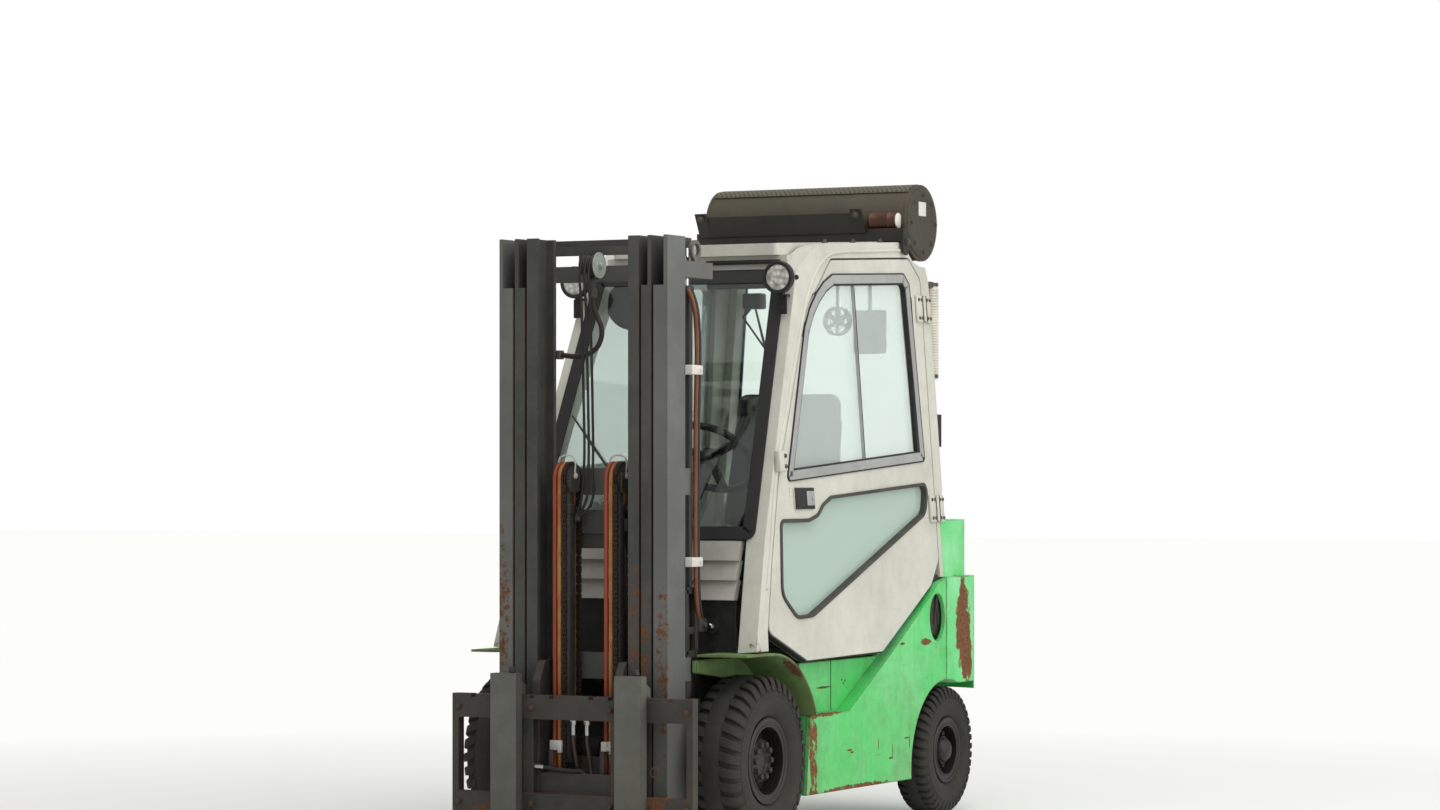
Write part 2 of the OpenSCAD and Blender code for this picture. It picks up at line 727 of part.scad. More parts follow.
module outer_mast() {
    saddle_r = axle_r + 34;
    seat_z = lift_foot - 12;
    color("#3c3d3c") {
        both_sides() {
            rail(outer_x, outer_rail, flange_top);
            difference() {
                side_plate(outer_x - outer_rail, outer_x)
                    union() {
                        polygon([[rail_rear, 115], [rail_rear, seat_z], [lift_y + lift_r, seat_z],
                            [0, front_axle_z + saddle_r], [0, front_axle_z - saddle_r]]);
                        translate([0, front_axle_z]) circle(r = saddle_r);
                    }
                bar_x(axle_r + fit, 0, outer_x + 1, 0, front_axle_z);
            }
            block([lift_x - lift_r, outer_x], [lift_y - lift_r, lift_y + lift_r], [seat_z, lift_foot]);
            block([outer_x - 12, outer_x], [rail_rear, bow_rear], [bow_z, bow_z + bow_h]);
            for (z = [560, 1180])
                block([outer_x - 20, outer_x], [rail_rear, outer_tie_y], [z, z + 90]);
            difference() {
                side_plate(tilt_x + 25 + fit, tilt_x + 40)
                    union() {
                        translate(tilt_eye) circle(r = 26);
                        translate([outer_tie_y + tie_t, tilt_eye[1] - 26])
                            square([tilt_eye[0] - outer_tie_y - tie_t, 52]);
                    }
                bar_x(pin_r + fit, 0, outer_x, tilt_eye[0], tilt_eye[1]);
            }
            bar_x(pin_r + fit, tilt_x - 24, tilt_x + 40, tilt_eye[0], tilt_eye[1]);
            difference() {
                bar_x(34, outer_x - 12, outer_x, ring_y, ring_z);
                bar_x(22, outer_x - 13, outer_x + 1, ring_y, ring_z);
            }
            block([outer_x - 12, outer_x], [ring_y - 14, ring_y + 14], [bow_z + bow_h, ring_z - 30]);
        }
        block([-outer_x, outer_x], [bow_rear - 16, bow_rear], [bow_z, bow_z + bow_h]);
        for (z = [560, 1180])
            block([-outer_x, outer_x], [outer_tie_y, outer_tie_y + tie_t], [z, z + 90]);
    }
}

module lift_cylinders() {
    color("#3a3b3b")
        both_sides()
            difference() {
                union() {
                    bar_z(lift_r, lift_foot, lift_top, lift_x, lift_y);
                }
                bar_z(lift_rod_r + fit, lift_foot + 14, lift_top + 1, lift_x, lift_y);
            }
}

module lift_rods() {
    color("#b9bcbe")
        both_sides()
            bar_z(lift_rod_r, lift_foot + 20, mid_cap_z, lift_x, lift_y);
}

// Two guide rollers of a rail whose web ends at x, in the channel of the rail outside it
module rollers(x, outside_x) {
    for (z = [190, 430]) {
        bar_x(roller_r, x + rail_gap, outside_x - rail_web - 2, rail_mid_y, z);
        bar_x(24, x, x + rail_gap, rail_mid_y, z);
    }
}

module mid_mast() {
    color("#474847") {
        both_sides() {
            rail(mid_x, mid_rail, flange_top);
            rollers(mid_x, outer_x);
            for (z = [420, 1000])
                block([mid_x - 20, mid_x], [rail_rear, mid_tie_y], [z, z + 80]);
            block([mid_x - mid_rail, mid_x], [rail_rear, lift_y + lift_rod_r], [mid_cap_z, mast_h]);
            block([mid_x, lift_x + lift_rod_r], [rail_rear + 6, lift_y + lift_rod_r], [mid_cap_z, mast_h]);
        }
        for (z = [420, 1000])
            block([-mid_x, mid_x], [mid_tie_y, mid_tie_y + tie_t], [z, z + 80]);
        block([-mid_x + mid_rail, mid_x - mid_rail], [lift_y - lift_rod_r, lift_y + lift_rod_r], [mid_cap_z, mast_h]);
    }
}

module inner_mast() {
    color("#4f504f") {
        both_sides() {
            rail(inner_x, inner_rail, mast_h);
            rollers(inner_x, mid_x);
            block([clamp_x, clamp_x + 10], [free_y - 8, inner_tie_y], [1060, 1100]);
            block([free_x - free_r, free_x + free_r], [free_y - free_r, inner_tie_y], [free_foot - 15, free_foot]);
        }
        for (z = [220, 1050, mast_h - 55])
            block([-inner_x, inner_x], [inner_tie_y, inner_tie_y + tie_t], [z, z + (z > mast_h - 100 ? 30 : 80)]);
    }
}

module free_lift_cylinders() {
    color("#3a3b3b")
        both_sides()
            difference() {
                bar_z(free_r, free_foot, free_top, free_x, free_y);
                bar_z(free_rod_r + fit, free_foot + 14, free_top + 1, free_x, free_y);
            }
}

module lift_head() {
    half = 31;
    color("#6b6c6a")
        for (x = [-free_x, free_x])
            translate([x, free_y, 0]) {
                bar_z(free_rod_r, free_foot + 20, sheave_z - 40, 0, 0);
                bar_x(sheave_r, -half + 5, half - 5, 0, sheave_z);
                for (s = [-half, half - 5])
                    block([s, s + 5], [-30, 30], [sheave_z - 42, sheave_z + 20]);
                block([-half, half], [-20, 20], [sheave_z - 46, sheave_z - 30]);
            }
}

// A flat or round band over a sheave: two straight legs and a half turn
module over_sheave(x, front_z, rear_z) {
    translate([x, free_y, sheave_z]) rotate([90, 0, 90]) rotate_extrude(angle = 180) translate([chain_r, 0]) children();
    translate([x, free_y - chain_r, front_z])
        linear_extrude(sheave_z - front_z) rotate([0, 0, 90]) children();
    translate([x, free_y + chain_r, rear_z])
        linear_extrude(sheave_z - rear_z) rotate([0, 0, 90]) children();
}

module lift_chains() {
    color("#56524c")
        for (x = [-free_x, free_x])
            over_sheave(x + lane, anchor_z + fit, free_foot + fit)
                square([chain_t - 2 * fit, chain_w], center = true);
}

module mast_hoses() {
    color("#c8502a")
        for (x = [-free_x - lane, -free_x, free_x - lane, free_x])
            over_sheave(x, anchor_z + fit, free_foot + fit)
                circle(r = chain_t / 2 - fit);
}

module carriage() {
    bar_h = 80;
    color("#3f403f") {
        block([-carriage_w / 2, carriage_w / 2], [-carriage_face, bar_back], [carriage_z, carriage_z + bar_h]);
        difference() {
            block([-carriage_w / 2, carriage_w / 2], [-carriage_face, bar_back], [carriage_top - bar_h, carriage_top]);
            for (x = [75 : 75 : carriage_w / 2 - 40], s = [-1, 1])
                block([s * x - 9, s * x + 9], [-carriage_face - 1, bar_back + 1], [carriage_top - 12, carriage_top + 1]);
        }
        both_sides() {
            block([carriage_w / 2 - 24, carriage_w / 2], [-carriage_face, bar_back],
                [carriage_z + bar_h, carriage_top - bar_h]);
            block([carriage_w / 2 - 310, carriage_w / 2 - 270], [-carriage_face + 6, bar_back],
                [carriage_z + bar_h, carriage_top - bar_h]);
            side_plate(side_bar_x, side_bar_x + 28)
                smooth(10) polygon([[bar_back, carriage_z], [bar_back, 560], [bar_back + 40, 627],
                    [rail_mid_y + 30, 627], [rail_mid_y + 30, carriage_z + 20]]);
            for (z = [190, 560]) {
                bar_x(roller_r, inner_open + 3, inner_x - rail_web - 2, rail_mid_y, z);
                bar_x(24, side_bar_x + 20, inner_open + 4, rail_mid_y, z);
            }
        }
        for (x = [-free_x, free_x])
            block([x - 34, x + 34], [bar_back, free_y - chain_r + chain_t / 2 + 4], [anchor_z - 25, anchor_z]);
        block([-side_bar_x, side_bar_x], [bar_back, bar_back + 14], [anchor_z - 90, anchor_z]);
    }
}

module forks() {
    hook = 10;
    color("#55585a")
        both_sides()
            translate([fork_x - fork_w / 2, 0, 0]) {
                side_plate(0, fork_w)
                    polygon([[-carriage_face - fit, shank_top], [-carriage_face - fork_t, shank_top],
                        [-carriage_face - fork_t, 66], [-carriage_face - fork_t - 12, 54],
                        [-fork_tip, 54], [-fork_tip, 42], [-fork_tip + 500, 16],
                        [-carriage_face - 22, 14], [-carriage_face - fit, 36]]);
                side_plate(10, fork_w - 10)
                    polygon([[-carriage_face - fit, shank_top - 16], [-carriage_face - fit, carriage_top + fit],
                        [bar_back + fit, carriage_top + fit], [bar_back + fit, carriage_top - 22],
                        [bar_back + hook, carriage_top - 22], [bar_back + hook, carriage_top + 30]]);
                side_plate(10, fork_w - 10)
                    polygon([[-carriage_face - fit, carriage_z - fit], [-carriage_face - fit, carriage_z - 28],
                        [bar_back, carriage_z - 28], [bar_back, carriage_z - fit]]);
            }
}

// Pieces drawn along the tilt cylinders, from the pin on the chassis towards the eye on the mast
module along_tilt() {
    translate([0, tilt_pin[0], tilt_pin[1]]) rotate([90 - tilt_angle, 0, 0]) children();
}

module tilt_cylinders() {
    color("#2c2c2c")
        for (x = [-tilt_x, tilt_x])
            translate([x, 0, 0]) along_tilt() {
                difference() {
                    union() {
                        cylinder(r = tilt_r, h = tilt_barrel);
                        rotate([0, 90, 0]) translate([0, 0, -25]) cylinder(r = 34, h = 50);
                    }
                    translate([0, 0, 60]) cylinder(r = tilt_rod_r + fit, h = tilt_barrel);
                }
                side = x > 0 ? 1 : -1;
                rotate([0, 90 * side, 0]) cylinder(r = pin_r, h = beam_x - beam_t - tilt_x);
            }
}

module tilt_rods() {
    color("#b9bcbe")
        for (x = [-tilt_x, tilt_x])
            translate([x, 0, 0]) along_tilt()
                difference() {
                    union() {
                        translate([0, 0, 110]) cylinder(r = tilt_rod_r, h = tilt_len - 110);
                        translate([0, 0, tilt_len]) rotate([0, 90, 0]) translate([0, 0, -24]) cylinder(r = 26, h = 48);
                    }
                    translate([0, 0, tilt_len]) rotate([0, 90, 0])
                        translate([0, 0, -25]) cylinder(r = pin_r + eye_play, h = 50);
                }
}

// A tyre round the X axis: overall radius, half width, bead seat radius and half width of the seat
module tyre(r, w, seat_r, seat_w) {
    side = [[seat_r + fit, seat_w - fit], [seat_r + 19, seat_w - fit], [seat_r + 23, seat_w + 10],
        [seat_r + 0.5 * (r - seat_r), w], [r - 28, w - 3], [r, w - 24]];
    color("#3b3833")
        rotate([0, 90, 0])
            rotate_extrude($fn = 96)
                polygon(concat(side, [for (i = [len(side) - 1 : -1 : 0]) [side[i][0], -side[i][1]]]));
}

// A rim round the X axis with its disc and hub; the left wheels face +X
module rim(seat_r, seat_w, bore_r, disc_x, hub_r, hub_out) {
    flange = 8;
    wall = 13;
    color("#1e1e1e")
        rotate([0, 90, 0])
            difference() {
                rotate_extrude($fn = 96)
                    polygon([[0, -seat_w], [hub_r, -seat_w], [hub_r, disc_x - 14], [seat_r - wall, disc_x - 14],
                        [seat_r - wall, -seat_w - flange], [seat_r + 18, -seat_w - flange],
                        [seat_r + 18, -seat_w], [seat_r, -seat_w], [seat_r, seat_w], [seat_r + 18, seat_w],
                        [seat_r + 18, seat_w + flange], [seat_r - wall, seat_w + flange],
                        [seat_r - wall, disc_x], [hub_r, disc_x], [hub_r, hub_out], [0, hub_out]]);
                translate([0, 0, -seat_w - flange - 1]) cylinder(r = bore_r + fit, h = seat_w + flange + 1 + 20 + fit);
            }
}

module front_wheel_place(s) {
    translate([s * front_wheel_x, 0, front_axle_z]) rotate([0, 0, s > 0 ? 0 : 180]) children();
}

module rear_wheel_place(s) {
    translate([s * rear_wheel_x, wheelbase, rear_axle_z]) rotate([0, 0, s > 0 ? 0 : 180]) children();
}

module front_tyre(s) {
    front_wheel_place(s) tyre(front_tyre_d / 2, front_tyre_w / 2, front_seat_d / 2, front_tyre_w / 2 - 26);
}

module front_rim(s) {
    front_wheel_place(s)
        rim(front_seat_d / 2, front_tyre_w / 2 - 26, front_spindle_r, 14, 72, 44);
}

module rear_tyre(s) {
    rear_wheel_place(s) tyre(rear_tyre_d / 2, rear_tyre_w / 2, rear_seat_d / 2, rear_tyre_w / 2 - 20);
}

module rear_rim(s) {
    rear_wheel_place(s)
        rim(rear_seat_d / 2, rear_tyre_w / 2 - 20, rear_spindle_r, 12, 50, 40);
}

module left_knuckle() {
    half = 52 - fit;
    color("#353533")
        translate([0, wheelbase, rear_axle_z]) {
            bar_z(kingpin_r, -70, 70, kingpin_x, 0);
            bar_z(34, -half, half, kingpin_x, 0);
            bar_x(34, kingpin_x, rear_wheel_x - rear_tyre_w / 2 + 4, 0, 0);
            bar_x(rear_spindle_r, kingpin_x, rear_wheel_x + 20, 0, 0);
            block([kingpin_x - 16, kingpin_x + 16], [0, 80], [-half, -half + 18]);
        }
}

module right_knuckle() {
    mirror([1, 0, 0]) left_knuckle();
}

place() chassis_frame();
place() body_sides();
place() front_fenders();
place() drive_axle();
place() steer_axle();
place() counterweight();
place() engine_block();
place() engine_hood();
place() cab_frame();
place() roof();
place() front_cowl();
place() cab_glass();
place() dash();
place() seat();
place() lamps();
place() exhaust_drum();
place() drum_frame();
place() air_hose();
place() steering_wheel();
place() left_door();
place() left_door_glass();
place() right_door();
place() right_door_glass();
place() outer_mast();
place() lift_cylinders();
place() mid_mast();
place() lift_rods();
place() inner_mast();
place() free_lift_cylinders();
place() lift_head();
place() lift_chains();
place() mast_hoses();
place() carriage();
place() forks();
place() tilt_cylinders();
place() tilt_rods();
place() front_tyre(1);  // front_left_tyre
place() front_rim(1);  // front_left_rim
place() front_tyre(-1);  // front_right_tyre
place() front_rim(-1);  // front_right_rim
place() rear_tyre(1);  // rear_left_tyre
place() rear_rim(1);  // rear_left_rim
place() rear_tyre(-1);  // rear_right_tyre
place() rear_rim(-1);  // rear_right_rim
place() left_knuckle();
place() right_knuckle();
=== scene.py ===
import math

import bmesh
import bpy
from mathutils import Matrix, Vector


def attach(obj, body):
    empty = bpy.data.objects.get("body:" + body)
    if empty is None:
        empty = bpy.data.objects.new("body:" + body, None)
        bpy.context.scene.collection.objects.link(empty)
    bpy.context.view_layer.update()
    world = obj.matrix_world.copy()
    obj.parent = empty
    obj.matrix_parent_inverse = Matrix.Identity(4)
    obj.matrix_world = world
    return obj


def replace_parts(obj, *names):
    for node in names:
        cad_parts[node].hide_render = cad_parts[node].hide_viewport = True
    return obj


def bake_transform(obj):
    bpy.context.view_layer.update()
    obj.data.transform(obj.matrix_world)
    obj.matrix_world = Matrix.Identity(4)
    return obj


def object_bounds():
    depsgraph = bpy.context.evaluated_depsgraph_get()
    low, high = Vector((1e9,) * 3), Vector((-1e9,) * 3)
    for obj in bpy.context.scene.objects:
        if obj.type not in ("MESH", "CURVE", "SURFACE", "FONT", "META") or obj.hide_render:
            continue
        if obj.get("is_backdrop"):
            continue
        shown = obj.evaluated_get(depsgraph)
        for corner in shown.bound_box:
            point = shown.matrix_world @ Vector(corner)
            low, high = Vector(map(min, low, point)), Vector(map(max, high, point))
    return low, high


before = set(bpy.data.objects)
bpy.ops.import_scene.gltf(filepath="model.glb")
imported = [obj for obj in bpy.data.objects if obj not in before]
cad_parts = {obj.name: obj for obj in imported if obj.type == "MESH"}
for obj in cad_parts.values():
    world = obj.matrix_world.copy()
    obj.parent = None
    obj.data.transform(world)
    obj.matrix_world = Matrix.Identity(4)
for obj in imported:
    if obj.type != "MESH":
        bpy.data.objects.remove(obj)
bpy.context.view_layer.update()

scene = bpy.context.scene
scene.view_settings.view_transform = "Standard"


# The camera stands at the truck's front left corner, level and about 1.25 m above the floor.
# Lengths in this file are millimetres from the middle of the front axle, at floor height.
AXLE_TO_ORIGIN = 177.5


def at(x, y, z):
    """A point in millimetres from the front axle, in the row frame's metres."""
    return Vector((x, y - AXLE_TO_ORIGIN, z)) / 1000


lens = bpy.data.cameras.new("photo_camera")
lens.lens = 100.6
lens.sensor_width = 36
lens.shift_y = 0.0473
lens.clip_end = 200
camera = bpy.data.objects.new("photo_camera", lens)
camera.location = at(6561.6, -12064.1, 1253.2)
camera.rotation_euler = (math.radians(90), 0, math.radians(27.33))
scene.collection.objects.link(camera)
scene.camera = camera


# The studio is a pale painted floor that runs out into white. Broad lamps above and to the left give
# soft shadows.
def linear(code):
    """An sRGB hex colour as linear RGBA."""
    parts = [int(code[i:i + 2], 16) / 255 for i in (1, 3, 5)]
    return (*[c / 12.92 if c <= 0.04045 else ((c + 0.055) / 1.055) ** 2.4 for c in parts], 1)


def add(tree, kind, inputs=None, **settings):
    """Adds a node of a kind with its settings, or takes a node that is there. An input is a plain value, an
    output, or a node, of which the first output in use is taken."""
    made = kind if isinstance(kind, bpy.types.Node) else tree.nodes.new("ShaderNode" + kind)
    for name, value in settings.items():
        setattr(made, name, value)
    for key, value in (inputs or {}).items():
        if isinstance(value, bpy.types.Node):
            value = next(out for out in value.outputs if out.enabled)
        if isinstance(value, bpy.types.NodeSocket):
            tree.links.new(value, made.inputs[key])
        else:
            made.inputs[key].default_value = value
    return made


def material(name):
    """A new material with its node tree and its shader."""
    made = bpy.data.materials.new(name)
    made.use_nodes = True
    return made, made.node_tree, made.node_tree.nodes["Principled BSDF"]


def seen(tree):
    """1 for what the camera sees, also through glass, and 0 for the light that falls on the truck."""
    path = add(tree, "LightPath").outputs
    return add(tree, "Math", {0: path["Is Camera Ray"], 1: path["Is Transmission Ray"]}, operation="MAXIMUM")


sky = bpy.data.worlds.new("studio")
scene.world = sky
sky.use_nodes = True
tree = sky.node_tree
level = add(tree, "MapRange", {"Value": seen(tree), "To Min": 0.55, "To Max": 1.0})
add(tree, tree.nodes["Background"], {"Strength": level, "Color": (1, 1, 1, 1)})

FLOOR_HALF_M = 60
bm = bmesh.new()
bmesh.ops.create_grid(bm, x_segments=1, y_segments=1, size=FLOOR_HALF_M)
mesh = bpy.data.meshes.new("studio_floor")
bm.to_mesh(mesh)
bm.free()
floor = bpy.data.objects.new("studio_floor", mesh)
scene.collection.objects.link(floor)
floor_paint, tree, shader = material("floor_paint")
add(tree, shader, {"Base Color": linear("#F4F3EE"), "Roughness": 0.45})
spot = add(tree, "TexCoord").outputs["Object"]
away = add(tree, "VectorMath", {0: spot}, operation="LENGTH").outputs["Value"]
away = add(tree, "MapRange", {"Value": away, "From Min": 0.4, "From Max": 6})
white = add(tree, "Math", {0: seen(tree), 1: away}, operation="MULTIPLY")
glow = add(tree, "Emission", {"Color": linear("#FDFDFA")})
blank = add(tree, "MixShader", {0: white, 1: shader, 2: glow})
add(tree, tree.nodes["Material Output"], {"Surface": blank})
mesh.materials.append(floor_paint)
floor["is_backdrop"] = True

for name, spot, aim, size, watts in (
    ("top_lamp", (2200, -600, 6500), (0, 600, 600), 6.0, 265),
    ("front_lamp", (5200, -7000, 4200), (0, 400, 900), 5.0, 65),
    ("left_lamp", (7500, 1500, 3200), (0, 700, 900), 4.0, 160),
):
    lamp = bpy.data.lights.new(name, "AREA")
    lamp.size = size
    lamp.energy = watts
    light = bpy.data.objects.new(name, lamp)
    light.location = at(*spot)
    light.rotation_euler = (at(*aim) - at(*spot)).to_track_quat("-Z", "Y").to_euler()
    scene.collection.objects.link(light)


# The chassis is a welded box of steel plate with a floor and a bulkhead, dipped black. The plates
# have picked up road dust and a brown film along their edges.
def share(tree, spot, scale, detail, low, high, most=1.0, rough=0.5):
    """Noise as a share: 0 where it is under low, rising to most where it is over high. scale is per metre."""
    noise = add(tree, "TexNoise", {"Vector": spot, "Scale": scale, "Detail": detail, "Roughness": rough})
    return add(tree, "MapRange", {"Value": noise, "From Min": low, "From Max": high, "To Max": most})


def weathered(name, paint, faded, grime, rust, grime_share=0.35, rust_share=0.1, low_dirt=0.5,
              scratches=0.25, roughness=0.5, edge_mm=3.0, edge_wear=0.8, metallic=0.0, marks=()):
    """Sprayed steel after years of use: faded patches in the paint, dirt that thickens towards the floor,
    run-down streaks, fine scratches, and rust that starts at the edges. marks are rust patches, each a
    middle in millimetres, its half sizes, and how solid it is; one on the green body is painted shade in a
    dent."""
    finish, tree, shader = material(name)
    spot = add(tree, "TexCoord").outputs["Object"]

    # Patches of faded paint, about 300 mm across
    fade = share(tree, spot, 3.3, 5, 0.38, 0.68, rough=0.6)
    colour = add(tree, "Mix", {0: fade, 6: linear(paint), 7: linear(faded)}, data_type="RGBA")

    # Fine level scratches, 1 to 2 mm apart, drawn out to about 150 mm
    drawn = add(tree, "Mapping", {"Vector": spot, "Rotation": (0.1, 0.0, 0.0), "Scale": (7, 7, 420)})
    lines = share(tree, drawn, 1, 2, 0.68, 0.76, scratches)
    colour = add(tree, "Mix", {0: lines, 6: colour, 7: linear(grime)}, data_type="RGBA")

    # Streaks that ran down with the rain, about 25 mm apart
    drawn = add(tree, "Mapping", {"Vector": spot, "Scale": (38, 38, 2.2)})
    streaks = share(tree, drawn, 1, 4, 0.52, 0.8, 0.6 * grime_share)

    # Dirt in patches of about 90 mm that thickens towards the floor
    height = add(tree, "SeparateXYZ", {0: spot}).outputs[2]
    low = add(tree, "MapRange", {"Value": height, "From Min": 0.75, "From Max": 0.12, "To Max": low_dirt})
    low = add(tree, "Math", {0: low, 1: fade}, operation="MULTIPLY")
    dirt = share(tree, spot, 11, 8, 0.42, 0.72, grime_share, rough=0.68)
    dirt = add(tree, "Math", {0: dirt, 1: streaks}, operation="MAXIMUM")
    dirt = add(tree, "Math", {0: dirt, 1: low}, operation="ADD", use_clamp=True)
    colour = add(tree, "Mix", {0: dirt, 6: colour, 7: linear(grime)}, data_type="RGBA")

    # Rust: pin holes and spots of 5 to 30 mm, chips along the edges, and the stated patches, one of which
    # is painted shade in a dent
    rounded = add(tree, "Bevel", {"Radius": edge_mm / 1000}, samples=4)
    face = add(tree, "NewGeometry").outputs["Normal"]
    along = add(tree, "VectorMath", {0: rounded, 1: face}, operation="DOT_PRODUCT").outputs["Value"]
    edge = add(tree, "MapRange", {"Value": along, "From Min": 0.99, "From Max": 0.8, "To Max": edge_wear})
    chips = add(tree, "TexNoise", {"Vector": spot, "Scale": 46, "Detail": 7, "Roughness": 0.7})
    spots = add(tree, "TexNoise", {"Vector": spot, "Scale": 24, "Detail": 9, "Roughness": 0.72})
    amount = add(tree, "Math", {0: edge, 1: chips, 2: spots}, operation="MULTIPLY_ADD")
    ragged = add(tree, "Math", {0: chips, 1: 0.75}, operation="ADD")
    for middle, half, solid in marks:
        patch = add(tree, "Mapping", {"Vector": spot, "Location": at(*middle), "Scale": Vector(half) / 1000},
                    vector_type="TEXTURE")
        patch = add(tree, "TexGradient", {"Vector": patch}, gradient_type="SPHERICAL")
        patch = add(tree, "MapRange", {"Value": patch, "From Max": 0.5, "To Max": solid})
        amount = add(tree, "Math", {0: patch, 1: ragged, 2: amount}, operation="MULTIPLY_ADD")
    start = 0.80 - 0.35 * rust_share
    rust_and_dent_shade = add(tree, "MapRange", {"Value": amount, "From Min": start, "From Max": start + 0.09})
    scale = add(tree, "TexNoise", {"Vector": spot, "Scale": 130, "Detail": 6, "Roughness": 0.7})
    mottle = add(tree, "MapRange", {"Value": scale, "From Min": 0.3, "From Max": 0.65})
    deep = add(tree, "Mix", {0: mottle, 6: linear("#3A2515"), 7: linear(rust)}, data_type="RGBA")
    colour = add(tree, "Mix", {0: rust_and_dent_shade, 6: colour, 7: deep}, data_type="RGBA")

    dull = add(tree, "Math", {0: rust_and_dent_shade, 1: dirt}, operation="MAXIMUM")
    rough = add(tree, "MapRange", {"Value": dull, "To Min": roughness, "To Max": 0.9})
    pits = add(tree, "Math", {0: scale, 1: rust_and_dent_shade}, operation="MULTIPLY")
    skin = add(tree, "Bump", {"Height": pits, "Strength": 0.5, "Distance": 0.0015, "Normal": rounded})
    add(tree, shader, {"Base Color": colour, "Roughness": rough, "Normal": skin, "Metallic": metallic})
    return finish


def dress(finish, *names):
    """Puts a finish on CAD nodes."""
    for name in names:
        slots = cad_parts[name].data.materials
        slots.clear()
        slots.append(finish)


frame_black = weathered("dipped_black_steel", "#181918", "#20201F", "#4A443A", "#74492A", rust_share=0.15)
dress(frame_black, "chassis_frame")


# The drive axle is a cast housing bolted across the front of the chassis, and the steer axle a cast
# beam at the back. Both are bare castings under oily dust.
cast_iron = weathered("oily_cast_iron", "#2C2A27", "#37342F", "#4E463A", "#5E3B26", rust_share=0.3,
                      roughness=0.7, metallic=0.2)
dress(cast_iron, "drive_axle", "steer_axle", "left_knuckle", "right_knuckle")


# The engine is an iron block, painted grey, that stands on two beams under the hood. It is out of sight
# with the hood shut.
engine_iron = weathered("painted_engine_iron", "#3C3B39", "#474542", "#2A2622", "#5E3B26", roughness=0.6)
dress(engine_iron, "engine_block")


# Wheels: industrial cushion tyres of black rubber moulded with deep shoulder lugs round a smooth
# middle band, on pressed steel rims with a lock ring, a hub and a ring of nuts.
SIDES = (("left", 1), ("right", -1))
ALONG_X = Matrix.Identity(3)
FRONT_SECTION = 160.5


def rolled(bm, outline, centre=(0, 0, 0), steps=72, closed=True, side=1, turn=ALONG_X):
    """Spins an outline of (along, radius) points round an axis through centre: X, or where turn takes it."""
    verts = [bm.verts.new(Vector(centre) + turn @ Vector((side * a, 0, r))) for a, r in outline]
    ends = verts[1:] + verts[:1] if closed else verts[1:]
    edges = [bm.edges.new(pair) for pair in zip(verts, ends)]
    bmesh.ops.spin(bm, geom=verts + edges, cent=centre, axis=turn @ Vector((1, 0, 0)), dvec=(0, 0, 0),
                   angle=math.tau, steps=steps, use_merge=True)


def build(name, bm, finish, body, sharp=32, merge=0.01, place=Matrix()):
    """Closes a mesh drawn in millimetres from the front axle, or in a plane that place puts there, brings it
    to the row frame and hangs it on its body."""
    bmesh.ops.transform(bm, matrix=place, verts=bm.verts)
    bmesh.ops.remove_doubles(bm, verts=bm.verts, dist=merge)
    bmesh.ops.recalc_face_normals(bm, faces=bm.faces)
    bmesh.ops.translate(bm, verts=bm.verts, vec=(0, -AXLE_TO_ORIGIN, 0))
    bmesh.ops.scale(bm, verts=bm.verts, vec=(0.001, 0.001, 0.001))
    mesh = bpy.data.meshes.new(name)
    bm.to_mesh(mesh)
    bm.free()
    mesh.shade_smooth()
    mesh.set_sharp_from_angle(angle=math.radians(sharp))
    mesh.materials.append(finish)
    piece = bpy.data.objects.new(name, mesh)
    scene.collection.objects.link(piece)
    if body:
        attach(piece, body)
    return piece


